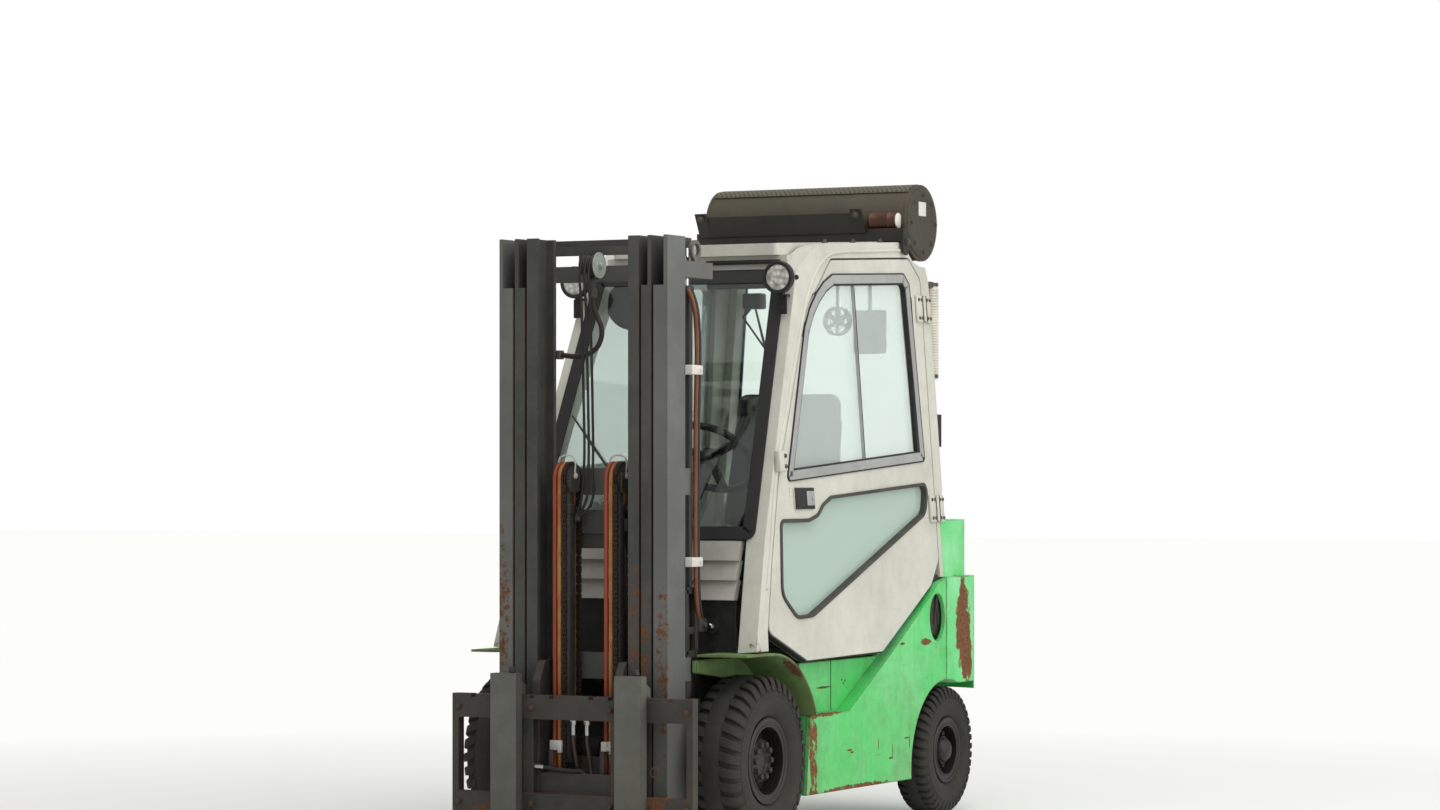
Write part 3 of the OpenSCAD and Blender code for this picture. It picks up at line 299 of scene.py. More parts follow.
def tyre(name, body, centre, side, radius, half, seat, lugs):
    """A tyre with its carcass, a smooth middle band and two rings of lugs set half a pitch apart."""
    bm = bmesh.new()
    k = (radius - seat) / FRONT_SECTION
    carcass = [(0.71, seat + 0.5), (0.71, seat + 19), (0.78, seat + 23), (0.90, seat + 38 * k),
               (0.965, seat + 58 * k), (0.985, seat + 78 * k), (0.975, seat + 92 * k), (0.995, seat + 95 * k),
               (0.995, seat + 101 * k), (0.965, seat + 104 * k), (0.93, seat + 119 * k), (0.82, seat + 136 * k),
               (0.66, seat + 145 * k), (0.33, seat + 148 * k)]
    outline = [(half * x, r) for x, r in carcass]
    rolled(bm, outline + [(-x, r) for x, r in reversed(outline)], centre, steps=96)
    band = 0.36 * half
    rolled(bm, [(-band, radius - 16), (-band, radius - 3), (-band + 4, radius - 0.6), (band - 4, radius - 0.6),
                (band, radius - 3), (band, radius - 16)], centre, steps=96)
    pitch = math.tau / lugs
    outer = [(0.34, 0.5), (0.56, 1.0), (0.74, 4.0), (0.87, 12 * k), (0.95, 26 * k), (0.99, 41 * k),
             (0.995, 52 * k)]
    inner = [(0.93, 50 * k), (0.88, 36 * k), (0.76, 24 * k), (0.56, 17 * k), (0.34, 16 * k)]
    about = {"cent": (0, 0, 0), "axis": (1, 0, 0), "dvec": (0, 0, 0)}
    for lug_side in (1, -1):
        lug = bmesh.new()
        ring = [lug.verts.new((lug_side * half * x, 0, radius - drop)) for x, drop in outer + inner]
        face = lug.faces.new(ring)
        bmesh.ops.spin(lug, geom=[face, *face.edges, *face.verts], angle=0.62 * pitch, steps=2, **about)
        for v in lug.verts:
            lean = 0.55 * pitch * (abs(v.co.x) / half - 0.34) * lug_side * side
            v.co = Matrix.Rotation(lean + (0.5 * pitch if lug_side < 0 else 0), 3, "X") @ v.co
        bmesh.ops.recalc_face_normals(lug, faces=lug.faces)
        corners = [e for e in lug.edges if len(e.link_faces) == 2 and e.calc_face_angle() > 0.8]
        bmesh.ops.bevel(lug, geom=corners, offset=2.2 * k, segments=1, profile=0.5, affect="EDGES", material=-1,
                        clamp_overlap=True)
        bmesh.ops.spin(lug, geom=lug.verts[:] + lug.edges[:] + lug.faces[:], angle=math.tau - pitch,
                       steps=lugs - 1, use_duplicate=True, **about)
        bmesh.ops.translate(lug, verts=lug.verts, vec=centre)
        held = bpy.data.meshes.new("lugs")
        lug.to_mesh(held)
        lug.free()
        bm.from_mesh(held)
        bpy.data.meshes.remove(held)
    piece = build(name + "_rubber", bm, tyre_rubber, body, merge=0.001)
    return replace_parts(piece, name)


def nut(bm, spot, axis, across, height, turn=0.0):
    """A six-sided nut or bolt head with a washer face, standing on spot along axis."""
    stand = Vector(axis).to_track_quat("Z", "Y").to_matrix().to_4x4()
    place = Matrix.Translation(spot) @ stand @ Matrix.Rotation(turn, 4, "Z")
    corner = 0.577 * across
    for sides, low, top, foot, tall in ((16, 0.72 * across, 0.72 * across, 0, 0.16 * across),
                                        (6, corner, corner, 0, height),
                                        (6, corner, 0.42 * across, height, 0.14 * across)):
        bmesh.ops.create_cone(bm, cap_ends=True, segments=sides, radius1=low, radius2=top, depth=tall,
                              matrix=place @ Matrix.Translation((0, 0, foot + tall / 2)))


tyre_rubber = weathered("moulded_tyre_rubber", "#171714", "#1F1E1B", "#373328", "#4A3B2C", grime_share=0.55,
                        rust_share=-0.6, low_dirt=0.35, scratches=0.15, roughness=0.8, edge_mm=2, edge_wear=0)
rim_black = weathered("sprayed_black_rim", "#0F0F0E", "#161514", "#302C24", "#5E3B26", grime_share=0.18,
                      rust_share=0.2, low_dirt=0.05, roughness=0.45, edge_mm=2)
wheel_nut = weathered("dusty_wheel_nut", "#2C2A26", "#3A3731", "#3F392E", "#5E3B26", grime_share=0.5,
                      rust_share=0.25, low_dirt=0.2, roughness=0.6, metallic=0.3, edge_mm=1)
nut_steel = weathered("zinc_plated_nut", "#53514B", "#67645C", "#3A342C", "#5E3B26", grime_share=0.5,
                      rust_share=0.35, low_dirt=0.2, roughness=0.5, metallic=0.6, edge_mm=1)
for end, x, y, radius, half, seat, seat_half, lugs, hub, count, circle, stand in (
    ("front", 435, 0, 287.5, 90, 127, 64, 36,
     [(40, 0.01), (52, 0.01), (51, 20), (48, 28), (47, 40), (50, 44), (50, 66), (47, 69), (40, 69)],
     10, 56, 49),
    ("rear", 452, 1470, 235, 65, 101.5, 45, 42,
     [(36, 0.01), (66, 0.01), (65, 18), (60, 32), (50, 42), (40, 46), (36, 46)],
     6, 68, 12),
):
    for word, side in SIDES:
        body = f"{end}_{word}_wheel"
        centre = Vector((side * x, y, radius))
        tyre(f"{end}_{word}_tyre", body, centre, side, radius, half, seat, lugs)
        dress(rim_black, f"{end}_{word}_rim")

        bm = bmesh.new()
        face = seat_half + 8
        rolled(bm, [(face - 5, seat - 13), (face + 1, seat - 13), (face + 3, seat - 9), (face + 1, seat - 5),
                    (face - 5, seat - 5)], centre, side=side)
        rolled(bm, [(face - 4, seat + 5), (face + 1, seat + 5), (face + 3.5, seat + 9), (face + 4, seat + 15),
                    (face + 1.5, seat + 19), (face - 4, seat + 18)], centre, side=side)
        rolled(bm, hub, centre, closed=False, side=side)
        build(f"{end}_{word}_hub", bm, rim_black, body)

        bm = bmesh.new()
        for turn in [math.tau * i / count for i in range(count)]:
            spot = centre + Vector((side * stand, circle * math.cos(turn), circle * math.sin(turn)))
            nut(bm, spot, (side, 0, 0), 19, 12, turn)
        build(f"{end}_{word}_nuts", bm, wheel_nut, body, sharp=20)


# The lower body is folded steel plate, sprayed leaf green: side panels with a step, and the cast
# counterweight behind them in the same paint. Edges and corners have rusted through the paint.
green_paint = weathered("sprayed_green_steel", "#48C664", "#78DC8D", "#5C6238", "#84542C", grime_share=0.32,
                        rust_share=0.17, low_dirt=0.5, scratches=0.55, roughness=0.38, edge_mm=6, edge_wear=0.9,
                        marks=(((505, 354, 290), (30, 46, 300), 0.3), ((505, 470, 430), (50, 180, 26), 0.34),
                               ((505, 700, 150), (12, 440, 22), 0.3), ((505, 880, 292), (8, 5, 34), 0.4),
                               ((505, 640, 285), (8, 30, 6), 0.36), ((505, 665, 276), (8, 22, 5), 0.36),
                               ((505, 1150, 820), (30, 40, 8), 0.36), ((505, 1085, 640), (30, 26, 7), 0.36),
                               ((505, 985, 236), (8, 26, 6), 0.4), ((505, 1000, 262), (8, 5, 40), 0.4),
                               ((505, 1120, 300), (8, 30, 5), 0.4), ((505, 1145, 285), (8, 5, 30), 0.4),
                               # The first mark below, at (462, 530, 508), is painted shade in a dent, drawn as
                               # a rust patch.
                               ((462, 530, 508), (12, 90, 7), 0.42), ((505, 760, 640), (60, 20, 26), 0.34),
                               ((505, 1000, 700), (60, 30, 40), 0.34), ((505, 1290, 640), (20, 60, 18), 0.33)))
dress(green_paint, "body_sides")
weight_paint = weathered("sprayed_green_casting", "#58CF72", "#8FE0A0", "#5F6B41", "#84542C", grime_share=0.2,
                         rust_share=0.16, low_dirt=0.2, scratches=0.3, roughness=0.42, edge_mm=8, edge_wear=0.6,
                         marks=(((505, 1620, 700), (70, 90, 250), 0.36), ((500, 1665, 560), (90, 60, 130), 0.3),
                                ((480, 1740, 700), (60, 50, 230), 0.16),
                                ((-495, 1740, 600), (90, 120, 160), 0.2),
                                ((300, 1880, 480), (260, 40, 40), 0.2)))
dress(weight_paint, "counterweight")


# The front fenders are rolled steel sheet over the drive wheels, welded to the body. Their green paint
# lies under a crust of brown mud.
fender_paint = weathered("muddy_green_sheet", "#647A48", "#62A056", "#5A4A34", "#6A432A", grime_share=0.7,
                         rust_share=0.26, low_dirt=0.5, roughness=0.6, edge_mm=9,
                         marks=(((515, 60, 585), (40, 330, 60), 0.3), ((-515, 60, 585), (40, 330, 60), 0.3),
                                ((500, 285, 430), (90, 40, 120), 0.12),
                                ((-500, 285, 430), (90, 40, 120), 0.12)))
dress(fender_paint, "front_fenders")


# The engine hood is a folded steel box, sprayed dark grey. It is latched down and carries the seat.
hood_paint = weathered("sprayed_grey_hood", "#3A3C3B", "#454746", "#5A564C", "#74492A", rust_share=0.05,
                       low_dirt=0, roughness=0.55)
dress(hood_paint, "engine_hood")


# The cab is welded from steel section and sheet and sprayed pale warm grey. Its doors are of the
# same make.
cab_paint = weathered("sprayed_pale_grey_steel", "#CBCBBF", "#BDBDB1", "#8D8779", "#84542C", grime_share=0.22,
                      rust_share=0.03, low_dirt=0, scratches=0.3, roughness=0.36, edge_mm=5, edge_wear=0.35,
                      marks=(((505, -70, 668), (50, 34, 50), 0.24), ((-505, -70, 668), (50, 34, 50), 0.24),
                             ((480, 240, 1190), (20, 8, 60), 0.3)))
dress(cab_paint, "cab_frame", "roof", "left_door", "right_door")
cowl_paint = weathered("sprayed_grey_cowl", "#B1AEA7", "#A19D95", "#77726A", "#84542C", grime_share=0.3,
                       rust_share=0.04, low_dirt=0, roughness=0.45)
dress(cowl_paint, "front_cowl")


# The panes are 6 mm float glass with a light green tint, set in rubber. The doors' glass is dusty, and a
# pale film covers their lower panes.
tinted_glass, tree, shader = material("green_float_glass")
add(tree, shader, {"Base Color": linear("#F1FAF5"), "Roughness": 0.02, "IOR": 1.45, "Transmission Weight": 1.0})
dress(tinted_glass, "cab_glass")
dusty_glass = tinted_glass.copy()
dusty_glass.name = "dusty_door_glass"
dusty_glass.node_tree.nodes["Principled BSDF"].inputs["Transmission Weight"].default_value = 0.7
film, tree, shader = material("pale_privacy_film")
add(tree, shader, {"Base Color": linear("#BCD2C5"), "Roughness": 0.12, "Transmission Weight": 0.25})
BETWEEN_PANES_M = 1.24
for word, side in SIDES:
    dress(dusty_glass, f"{word}_door_glass")
    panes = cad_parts[f"{word}_door_glass"].data
    panes.materials.append(film)
    for face in panes.polygons:
        face.material_index = 1 if face.center.z < BETWEEN_PANES_M else 0


# The dash and the steering wheel are moulded black plastic with a fine leather-like grain. The seat's
# vinyl and the pale air hose have a grain of the same kind.
def moulded(name, colour, dust_and_glints, roughness=0.55, grain_mm=1.6):
    """Moulded plastic: one colour with patches of a light film of dust, which on two hoses are painted glints
    instead, and a fine raised grain.
    """
    finish, tree, shader = material(name)
    spot = add(tree, "TexCoord").outputs["Object"]
    dust_and_glint_mask = share(tree, spot, 9, 7, 0.4, 0.75, 0.55, rough=0.65)
    tint = add(tree, "Mix", {0: dust_and_glint_mask, 6: linear(colour), 7: linear(dust_and_glints)}, data_type="RGBA")
    rough = add(tree, "MapRange", {"Value": dust_and_glint_mask, "To Min": roughness, "To Max": min(1, roughness + 0.3)})
    grain = add(tree, "TexVoronoi", {"Vector": spot, "Scale": 1000 / grain_mm})
    skin = add(tree, "Bump", {"Height": grain, "Strength": 0.25, "Distance": 0.0004})
    add(tree, shader, {"Base Color": tint, "Roughness": rough, "Normal": skin})
    return finish


black_plastic = moulded("moulded_black_plastic", "#171717", "#2E2C29")
dress(black_plastic, "dash", "steering_wheel", "lamps")
seat_vinyl = moulded("grained_black_vinyl", "#26292A", "#383836", roughness=0.5, grain_mm=2.2)
dress(seat_vinyl, "seat")
duct_plastic = moulded("pale_ribbed_hose", "#D9D5C8", "#A49E90", roughness=0.6)
dress(duct_plastic, "air_hose")


# Cab seals: each pane sits in a moulded rubber or a drawn alloy frame, which is pressed into the
# opening.
def slab(bm, x, y, z, bevel=0.0, segments=2):
    """A box between two values on each axis, with its edges rounded."""
    place = Matrix.Translation([sum(a) / 2 for a in (x, y, z)])
    size = Matrix.Diagonal([abs(a[1] - a[0]) for a in (x, y, z)] + [1])
    made = bmesh.ops.create_cube(bm, size=1, matrix=place @ size)
    if bevel:
        edges = {e for v in made["verts"] for e in v.link_edges}
        bmesh.ops.bevel(bm, geom=list(edges), offset=bevel, segments=segments, profile=0.5, affect="EDGES",
                        material=-1, clamp_overlap=True)


def rod(bm, start, end, radius, segments=20, tip=None):
    """A round bar between two points; tip is its radius at the end."""
    start, end = Vector(start), Vector(end)
    turn = (end - start).to_track_quat("Z", "Y").to_matrix().to_4x4()
    bmesh.ops.create_cone(bm, cap_ends=True, segments=segments, radius1=radius,
                          radius2=radius if tip is None else tip, depth=(end - start).length,
                          matrix=Matrix.Translation((start + end) / 2) @ turn)


def seal(bm, corners, radius, grow, width, low, high):
    """A frame round an opening: corners are (across, up) points, low and high its depths along X.
    The outline is grown by grow, its corners are rounded, and the frame is width wide inwards."""
    count = len(corners)
    points = [Vector(c) for c in corners]
    radii = radius if isinstance(radius, tuple) else (radius,) * count
    turning = sum(points[i].cross(points[(i + 1) % count]) for i in range(count))
    sign = 1 if turning > 0 else -1
    grown, tangents = [], []
    for i, p in enumerate(points):
        before, after = (p - points[i - 1]).normalized(), (points[(i + 1) % count] - p).normalized()
        out = (Vector((before.y, -before.x)) + Vector((after.y, -after.x))) * sign
        grown.append(p + out * grow / (1 + before.dot(after)))
        tangents.append(max(1.0, radii[i] + grow) * math.tan(before.angle(after) / 2))
    start = set(bm.faces)
    verts = [bm.verts.new((high, a, b)) for a, b in grown]
    bm.faces.new(verts)
    for v, tangent in zip(verts, tangents):
        bmesh.ops.bevel(bm, geom=[v], offset=tangent, segments=6, profile=0.5, affect="VERTICES", material=-1,
                        clamp_overlap=False)
    face = next(f for f in bm.faces if f not in start)
    bmesh.ops.inset_region(bm, faces=[face], thickness=width, use_even_offset=True, use_boundary=True)
    bmesh.ops.delete(bm, geom=[face], context="FACES")
    ring = [f for f in bm.faces if f not in start]
    made = bmesh.ops.extrude_face_region(bm, geom=ring)["geom"]
    moved = [g for g in made if isinstance(g, bmesh.types.BMVert)]
    bmesh.ops.translate(bm, verts=moved, vec=(low - high, 0, 0))


SILL_X, SILL_Z = 505, 700
CAB_LEAN, SCREEN_LEAN = math.radians(-4.2), math.radians(-22.1)
CAB_SIDE = (Matrix.Translation((SILL_X, 0, SILL_Z)) @ Matrix.Rotation(CAB_LEAN, 4, "Y")
            @ Matrix.Translation((0, 0, -SILL_Z)))
SCREEN = (Matrix.Translation((0, 30, 1024)) @ Matrix.Rotation(SCREEN_LEAN, 4, "X")
          @ Matrix.Rotation(math.radians(-90), 4, "Z"))
SCREEN_UP = 999.4
REAR_PANE = Matrix.Rotation(math.radians(90), 4, "Z")
seal_rubber = moulded("black_glazing_rubber", "#191919", "#33312C", roughness=0.65, grain_mm=3)
bm = bmesh.new()
seal(bm, ((-440, 6), (440, 6), (372, SCREEN_UP), (-372, SCREEN_UP)), 30, 3, 46, 2, 9)
build("windscreen_rubber", bm, seal_rubber, "chassis", place=SCREEN)
bm = bmesh.new()
seal(bm, ((-410, 1090), (410, 1090), (350, 1995), (-350, 1995)), 40, 3, 18, 1514, 1523)
build("rear_pane_rubber", bm, seal_rubber, "chassis", place=REAR_PANE)


# A wiper with its arm, spring case and blade lies on the windscreen, and a second one with its motor
# hangs inside the rear window. Both are pressed steel, painted black.
def wiper(bm, pivot, elbow, tip, lift):
    """Drawn in a pane's own plane: X is out of the pane, Y across and Z up."""
    def over(point, out):
        return Vector((out, *point))

    rod(bm, over(pivot, 0), over(pivot, lift + 8), 16, 20)
    rod(bm, over(pivot, lift), over(elbow, lift), 9, 12, 6)
    rod(bm, over(elbow, lift), over(tip, lift - 6), 4, 8)
    along = (Vector(tip) - Vector(pivot)).normalized()
    for reach in (-170, 170):
        end = Vector(tip) + along * reach
        rod(bm, over(tip, lift - 8), over(end, lift - 12), 6, 8, 3)
        rod(bm, over(tip, lift - 14), over(end, lift - 16), 3, 8)


wiper_black = moulded("satin_black_steel", "#141414", "#292724", roughness=0.4, grain_mm=4)
bm = bmesh.new()
wiper(bm, (40, 40), (-60, 150), (-230, 330), 34)
build("front_wiper", bm, wiper_black, "chassis", place=SCREEN)
bm = bmesh.new()
wiper(bm, (-300, 1890), (-340, 1840), (-250, 1720), 28)
slab(bm, (8, 60), (-330, -250), (1870, 1930), 8)
INSIDE_REAR_PANE = Matrix.Rotation(math.radians(-90), 4, "Z") @ Matrix.Translation((-1512, 0, 0))
build("rear_wiper", bm, wiper_black, "chassis", place=INSIDE_REAR_PANE)


# A sun visor and a convex mirror in moulded black cases hang under the front of the roof. A small foot
# screws each to the roof.
UNDER_ROOF = (1982, 1996)
bm = bmesh.new()
slab(bm, (40, 330), (455, 467), (1895, 1975), 5)
for x in (60, 310):
    rod(bm, (x, 461, 1970), (x, 461, 1990), 6)
slab(bm, (40, 330), (440, 480), UNDER_ROOF, 4)
build("sun_visor", bm, black_plastic, "chassis")
bm = bmesh.new()
bmesh.ops.create_uvsphere(bm, u_segments=32, v_segments=16, radius=1,
                          matrix=Matrix.Translation((-255, 455, 1850)) @ Matrix.Diagonal((105, 22, 92, 1)))
bmesh.ops.bisect_plane(bm, geom=bm.verts[:] + bm.edges[:] + bm.faces[:], plane_co=(0, 470, 0),
                       plane_no=(0, 1, 0), clear_outer=True)
rod(bm, (-255, 455, 1930), (-255, 470, 1985), 8)
slab(bm, (-285, -225), (455, 490), UNDER_ROOF, 4)
build("cab_mirror", bm, black_plastic, "chassis")


# A small cab fan and the filter's control box, both moulded black plastic, hang under the back of the
# roof. Each is on an arm with a foot that is screwed to the roof.
FAN = Vector((143, 1290, 1812))
bm = bmesh.new()
rolled(bm, [(-16, 46), (-16, 52), (-12, 54), (12, 54), (16, 52), (16, 46)], steps=32)
rolled(bm, [(-12, 0.01), (-12, 13), (10, 16), (20, 16), (20, 0.01)], steps=24, closed=False)
for ring in (22, 34):
    rolled(bm, [(-15, ring - 1.2), (-15, ring + 1.2), (-12.6, ring + 1.2), (-12.6, ring - 1.2)], steps=24)
for i in range(6):
    turn = Matrix.Rotation(math.tau * i / 6, 4, "X")
    rod(bm, turn @ Vector((-13, 0, 8)), turn @ Vector((-13, 0, 48)), 1.6, 6)
    pitched = Matrix.Rotation(math.radians(38), 4, "Z") @ Matrix.Diagonal((2, 20, 30, 1))
    bmesh.ops.create_cube(bm, size=1, matrix=turn @ Matrix.Translation((2, 0, 28)) @ pitched)
facing = Matrix.Translation(FAN) @ Matrix.Rotation(math.radians(90), 4, "Z")
bmesh.ops.transform(bm, matrix=facing, verts=bm.verts)
rod(bm, FAN + Vector((0, 0, 52)), (143, 1290, 2059), 6, 12)
slab(bm, (215, 335), (1268, 1312), (1690, 1850), 10, 3)
slab(bm, (232, 318), (1264, 1270), (1778, 1834), 3)
for x in (245, 275, 305):
    rod(bm, (x, 1270, 1735), (x, 1260, 1735), 9, 16, 7)
rod(bm, (275, 1290, 1846), (275, 1290, 2059), 7, 12)
for x in (143, 275):
    slab(bm, (x - 25, x + 25), (1270, 1310), (2050, 2060), 3)
build("cab_fan_and_box", bm, black_plastic, "chassis")


# Doors: folded steel on two hinges, with a sliding upper window in a grey alloy frame, a fixed lower
# pane in sun-bleached rubber, and a flush black pull handle. A pressed gutter runs over each.
def tube(bm, points, radius, finer=8):
    """A round hose or wire through the points, bent smoothly at each."""
    line = bpy.data.curves.new("line", "CURVE")
    line.dimensions = "3D"
    line.bevel_depth = radius
    line.bevel_resolution = 2
    line.use_fill_caps = True
    line.resolution_u = finer
    spline = line.splines.new("BEZIER")
    spline.bezier_points.add(len(points) - 1)
    for knot, point in zip(spline.bezier_points, points):
        knot.co = point
        knot.handle_left_type = knot.handle_right_type = "AUTO"
    holder = bpy.data.objects.new("line", line)
    made = bpy.data.meshes.new_from_object(holder)
    bm.from_mesh(made)
    bpy.data.objects.remove(holder)
    bpy.data.meshes.remove(made)
    bpy.data.curves.remove(line)


alloy_frame = weathered("anodised_window_frame", "#A3A5A2", "#B4B6B2", "#75736B", "#5B5850", grime_share=0.25,
                        rust_share=-0.5, low_dirt=0, roughness=0.4, metallic=0.35, edge_mm=2)
bleached_rubber = moulded("bleached_glazing_rubber", "#35342F", "#5F5D52", roughness=0.7, grain_mm=4)
UPPER_PANE = ((230, 1230), (440, 1757), (490, 1826), (552, 1882), (614, 1922), (690, 1952), (1287, 1980),
              (1329, 1945), (1363, 1302))
LOWER_PANE = ((157, 1094), (375, 1094), (446, 1110), (492, 1146), (560, 1172), (1355, 1216), (1369, 1185),
              (1345, 1106), (355, 762), (235, 758), (128, 840))
LOWER_ROUND = (26, 70, 70, 70, 70, 22, 22, 60, 90, 75, 60)
SASH_BAR = (1290, 1950)
HINGE_Y = 1440
HINGE_HEIGHTS = (1859, 1123)
GUTTER = ((18, 862), (52, 955), (146, 1252), (290, 1530), (380, 1700), (436, 1800), (482, 1872), (540, 1938),
          (606, 1990), (680, 2024), (760, 2036), (1000, 2052), (1290, 2070))
DOOR_EDGE = ((14, 720), (75, 949), (170, 1245), (470, 1820), (690, 2006), (1345, 2040), (1437, 1965),
             (1437, 935), (1359, 845), (905, 620), (299, 612))
for word, side in SIDES:
    on_side = Matrix.Scale(side, 4, (1, 0, 0)) @ CAB_SIDE
    body = f"{word}_door"
    bm = bmesh.new()
    seal(bm, UPPER_PANE, 14, 2, 32, -16, 4)
    slab(bm, (-10, 0), (859, 862), SASH_BAR)
    build(f"{word}_door_window_frame", bm, alloy_frame, body, place=on_side)

    bm = bmesh.new()
    seal(bm, UPPER_PANE, 14, 6, 5, -3, 4.5)
    seal(bm, UPPER_PANE, 2, -29, 7, -16, 2)
    slab(bm, (-9, 1.5), (862, 865), SASH_BAR)
    # This wide black band along the window's rear edge is rubber and painted shadow.
    slab(bm, (-15, 3), (1312, 1350), (1330, 1900), 3)
    slab(bm, (4, 11), (268, 414), (1130, 1204), 6, 3)
    slab(bm, (8, 13), (276, 336), (1138, 1196), 4)
    build(f"{word}_door_rubber_and_shadow", bm, seal_rubber, body, place=on_side)

    bm = bmesh.new()
    seal(bm, LOWER_PANE, LOWER_ROUND, 4, 12, -16, 5)
    build(f"{word}_lower_pane_rubber", bm, bleached_rubber, body, place=on_side)

    bm = bmesh.new()
    slab(bm, (10, 17), (346, 404), (1142, 1192), 4, 3)
    rod(bm, (16, 386, 1167), (20, 386, 1167), 9)
    build(f"{word}_door_handle", bm, alloy_frame, body, place=on_side)

    for part, holder, first, last, fold in (("leaf", body, HINGE_Y - 62, HINGE_Y - 10, HINGE_Y - 17),
                                            ("plate", "chassis", HINGE_Y + 10, HINGE_Y + 58, HINGE_Y + 14)):
        bm = bmesh.new()
        bolts = bmesh.new()
        middle = (first + last) / 2
        for z in HINGE_HEIGHTS:
            slab(bm, (0, 11), (first, last), (z - 50, z + 50), 5)
            for y, up in ((middle - 12, -34), (middle - 12, 34), (middle + 12, -34), (middle + 12, 34)):
                rod(bolts, (10, y, z + up), (15, y, z + up), 8, 12, 5)
            slab(bolts, (9, 13), (fold, fold + 3), (z - 48, z + 48))
        build(f"{word}_hinge_{part}", bm, cab_paint, holder, place=on_side)
        build(f"{word}_hinge_{part}_bolts", bolts, nut_steel, holder, place=on_side)

    bm = bmesh.new()
    seal(bm, DOOR_EDGE, 38, 5.2, 4.2, -30, -5)
    build(f"{word}_door_gasket", bm, seal_rubber, "chassis", place=on_side)

    bm = bmesh.new()
    tube(bm, [(0.5, y, z) for y, z in GUTTER], 6, 10)
    build(f"{word}_door_gutter", bm, cab_paint, "chassis", sharp=60, place=on_side)

    bm = bmesh.new()
    slab(bm, (1, 24), (138, 196), (1258, 1330), 6)
    build(f"{word}_door_striker", bm, cab_paint, "chassis", place=on_side)
    bm = bmesh.new()
    for z in (1276, 1312):
        rod(bm, (23, 178, z), (29, 178, z), 9, 12, 6)
    build(f"{word}_striker_screws", bm, nut_steel, "chassis", place=on_side)


# The side panels are welded up from folded sheets: a seam runs down each recess, with a black line of
# painted shade across it in a dent, and drain holes are drilled beside it, drawn as black discs of painted
# shade. The hand hole behind the door looks into the dark of the engine bay, which a black plate stands in
# for as painted shade.
bm = bmesh.new()
hole_shade_backs = bmesh.new()
for side in (1, -1):
    recess = (side * 455, side * 457.6)
    slab(bm, recess, (587, 592), (425, 604))
    # A black line across the recess: painted shade in the dent.
    slab(bm, recess, (500, 588), (507, 510))
    # The drain holes are black discs: painted shade.
    for y, z in ((676, 528), (690, 516), (704, 524)):
        rod(bm, (recess[0], y, z), (recess[1], y, z), 4, 10)
    # A black plate behind the hand hole: painted shade for the dark engine bay.
    slab(hole_shade_backs, (side * 478, side * 484), (1352, 1482), (660, 880), 2)
    rod(hole_shade_backs, (side * 486, 1402, 700), (side * 488, 1428, 852), 5, 10)
    rod(hole_shade_backs, (side * 486, 1436, 700), (side * 487, 1414, 852), 4, 10)
build("panel_seams_and_shade", bm, seal_rubber, "chassis")
build("hand_hole_shade_backs", hole_shade_backs, frame_black, "chassis")


# The roof carries zinc plated studs with nuts along both edges. They are left from a guard that has been
# taken off.
ROOF_Y, ROOF_Z, ROOF_SLOPE = 430, 2047, math.tan(math.radians(3.2))
bm = bmesh.new()
for x in (380, -380):
    for y in (700, 930, 1160):
        top = ROOF_Z + (y - ROOF_Y) * ROOF_SLOPE
        rod(bm, (x, y, top - 2), (x, y, top + 15), 6, 12)
        nut(bm, (x, y, top), (0, 0, 1), 16, 7)
build("roof_studs", bm, nut_steel, "chassis", sharp=20)


# The seat is foam under grained vinyl: a cushion and a back with raised bolsters and sewn channels,
# both screwed to a pressed pan on the hood.
def cushion(name, size, place, grooves, taper=0.0):
    """A sewn pad: size is its width, length and thickness, and grooves are the seams across it, as shares of
    its length. place puts its underside's middle on the seat."""
    bm = bmesh.new()
    bmesh.ops.create_cube(bm, size=2)
    bmesh.ops.subdivide_edges(bm, edges=bm.edges[:], cuts=31, use_grid_fill=True)
    side_seam = 0.66
    halves = [a / 2 for a in size]
    edge = 0.42 * size[2]
    for v in bm.verts:
        u, w, t = v.co
        full = Vector([a * half for a, half in zip(v.co, halves)])
        inner = Vector([max(-half + edge, min(half - edge, a)) for a, half in zip(full, halves)])
        outer = full - inner
        point = inner + outer.normalized() * min(edge, outer.length) if outer.length else inner
        if t > 0:
            bolster = 16 / (1 + math.exp(-26 * (abs(u) - side_seam)))
            crown = 9 * (1 - u * u) * (1 - w * w)
            depth = 7 if abs(u) < side_seam else 0.35 * 7
            seams = sum(depth * math.exp(-((w - g) / 0.035) ** 2) for g in grooves)
            sewn = 6 * math.exp(-((abs(u) - side_seam) / 0.03) ** 2)
            point.z += (bolster + crown - seams - sewn) * t
        point.x *= 1 - taper * (0.5 + 0.5 * w)
        v.co = point + Vector((0, 0, halves[2]))
    piece = build(name, bm, seat_vinyl, "chassis", sharp=80, place=place)
    return piece


base = cushion("seat_cushion", (470, 470, 78), Matrix.Translation((0, 940, 962)), (-0.5, 0, 0.5))
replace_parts(base, "seat")
RECLINE = Matrix.Translation((0, 1165, 1050)) @ Matrix.Rotation(math.radians(81), 4, "X")
cushion("seat_back", (450, 490, 84), RECLINE @ Matrix.Translation((0, 245, 0)), (-0.45, 0.05, 0.5),
        taper=0.14)
bm = bmesh.new()
slab(bm, (-190, 190), (20, 400), (-14, 6), 8)
bmesh.ops.transform(bm, matrix=RECLINE, verts=bm.verts)
slab(bm, (-205, 205), (720, 1170), (941, 968), 8)
build("seat_pan", bm, black_plastic, "chassis")


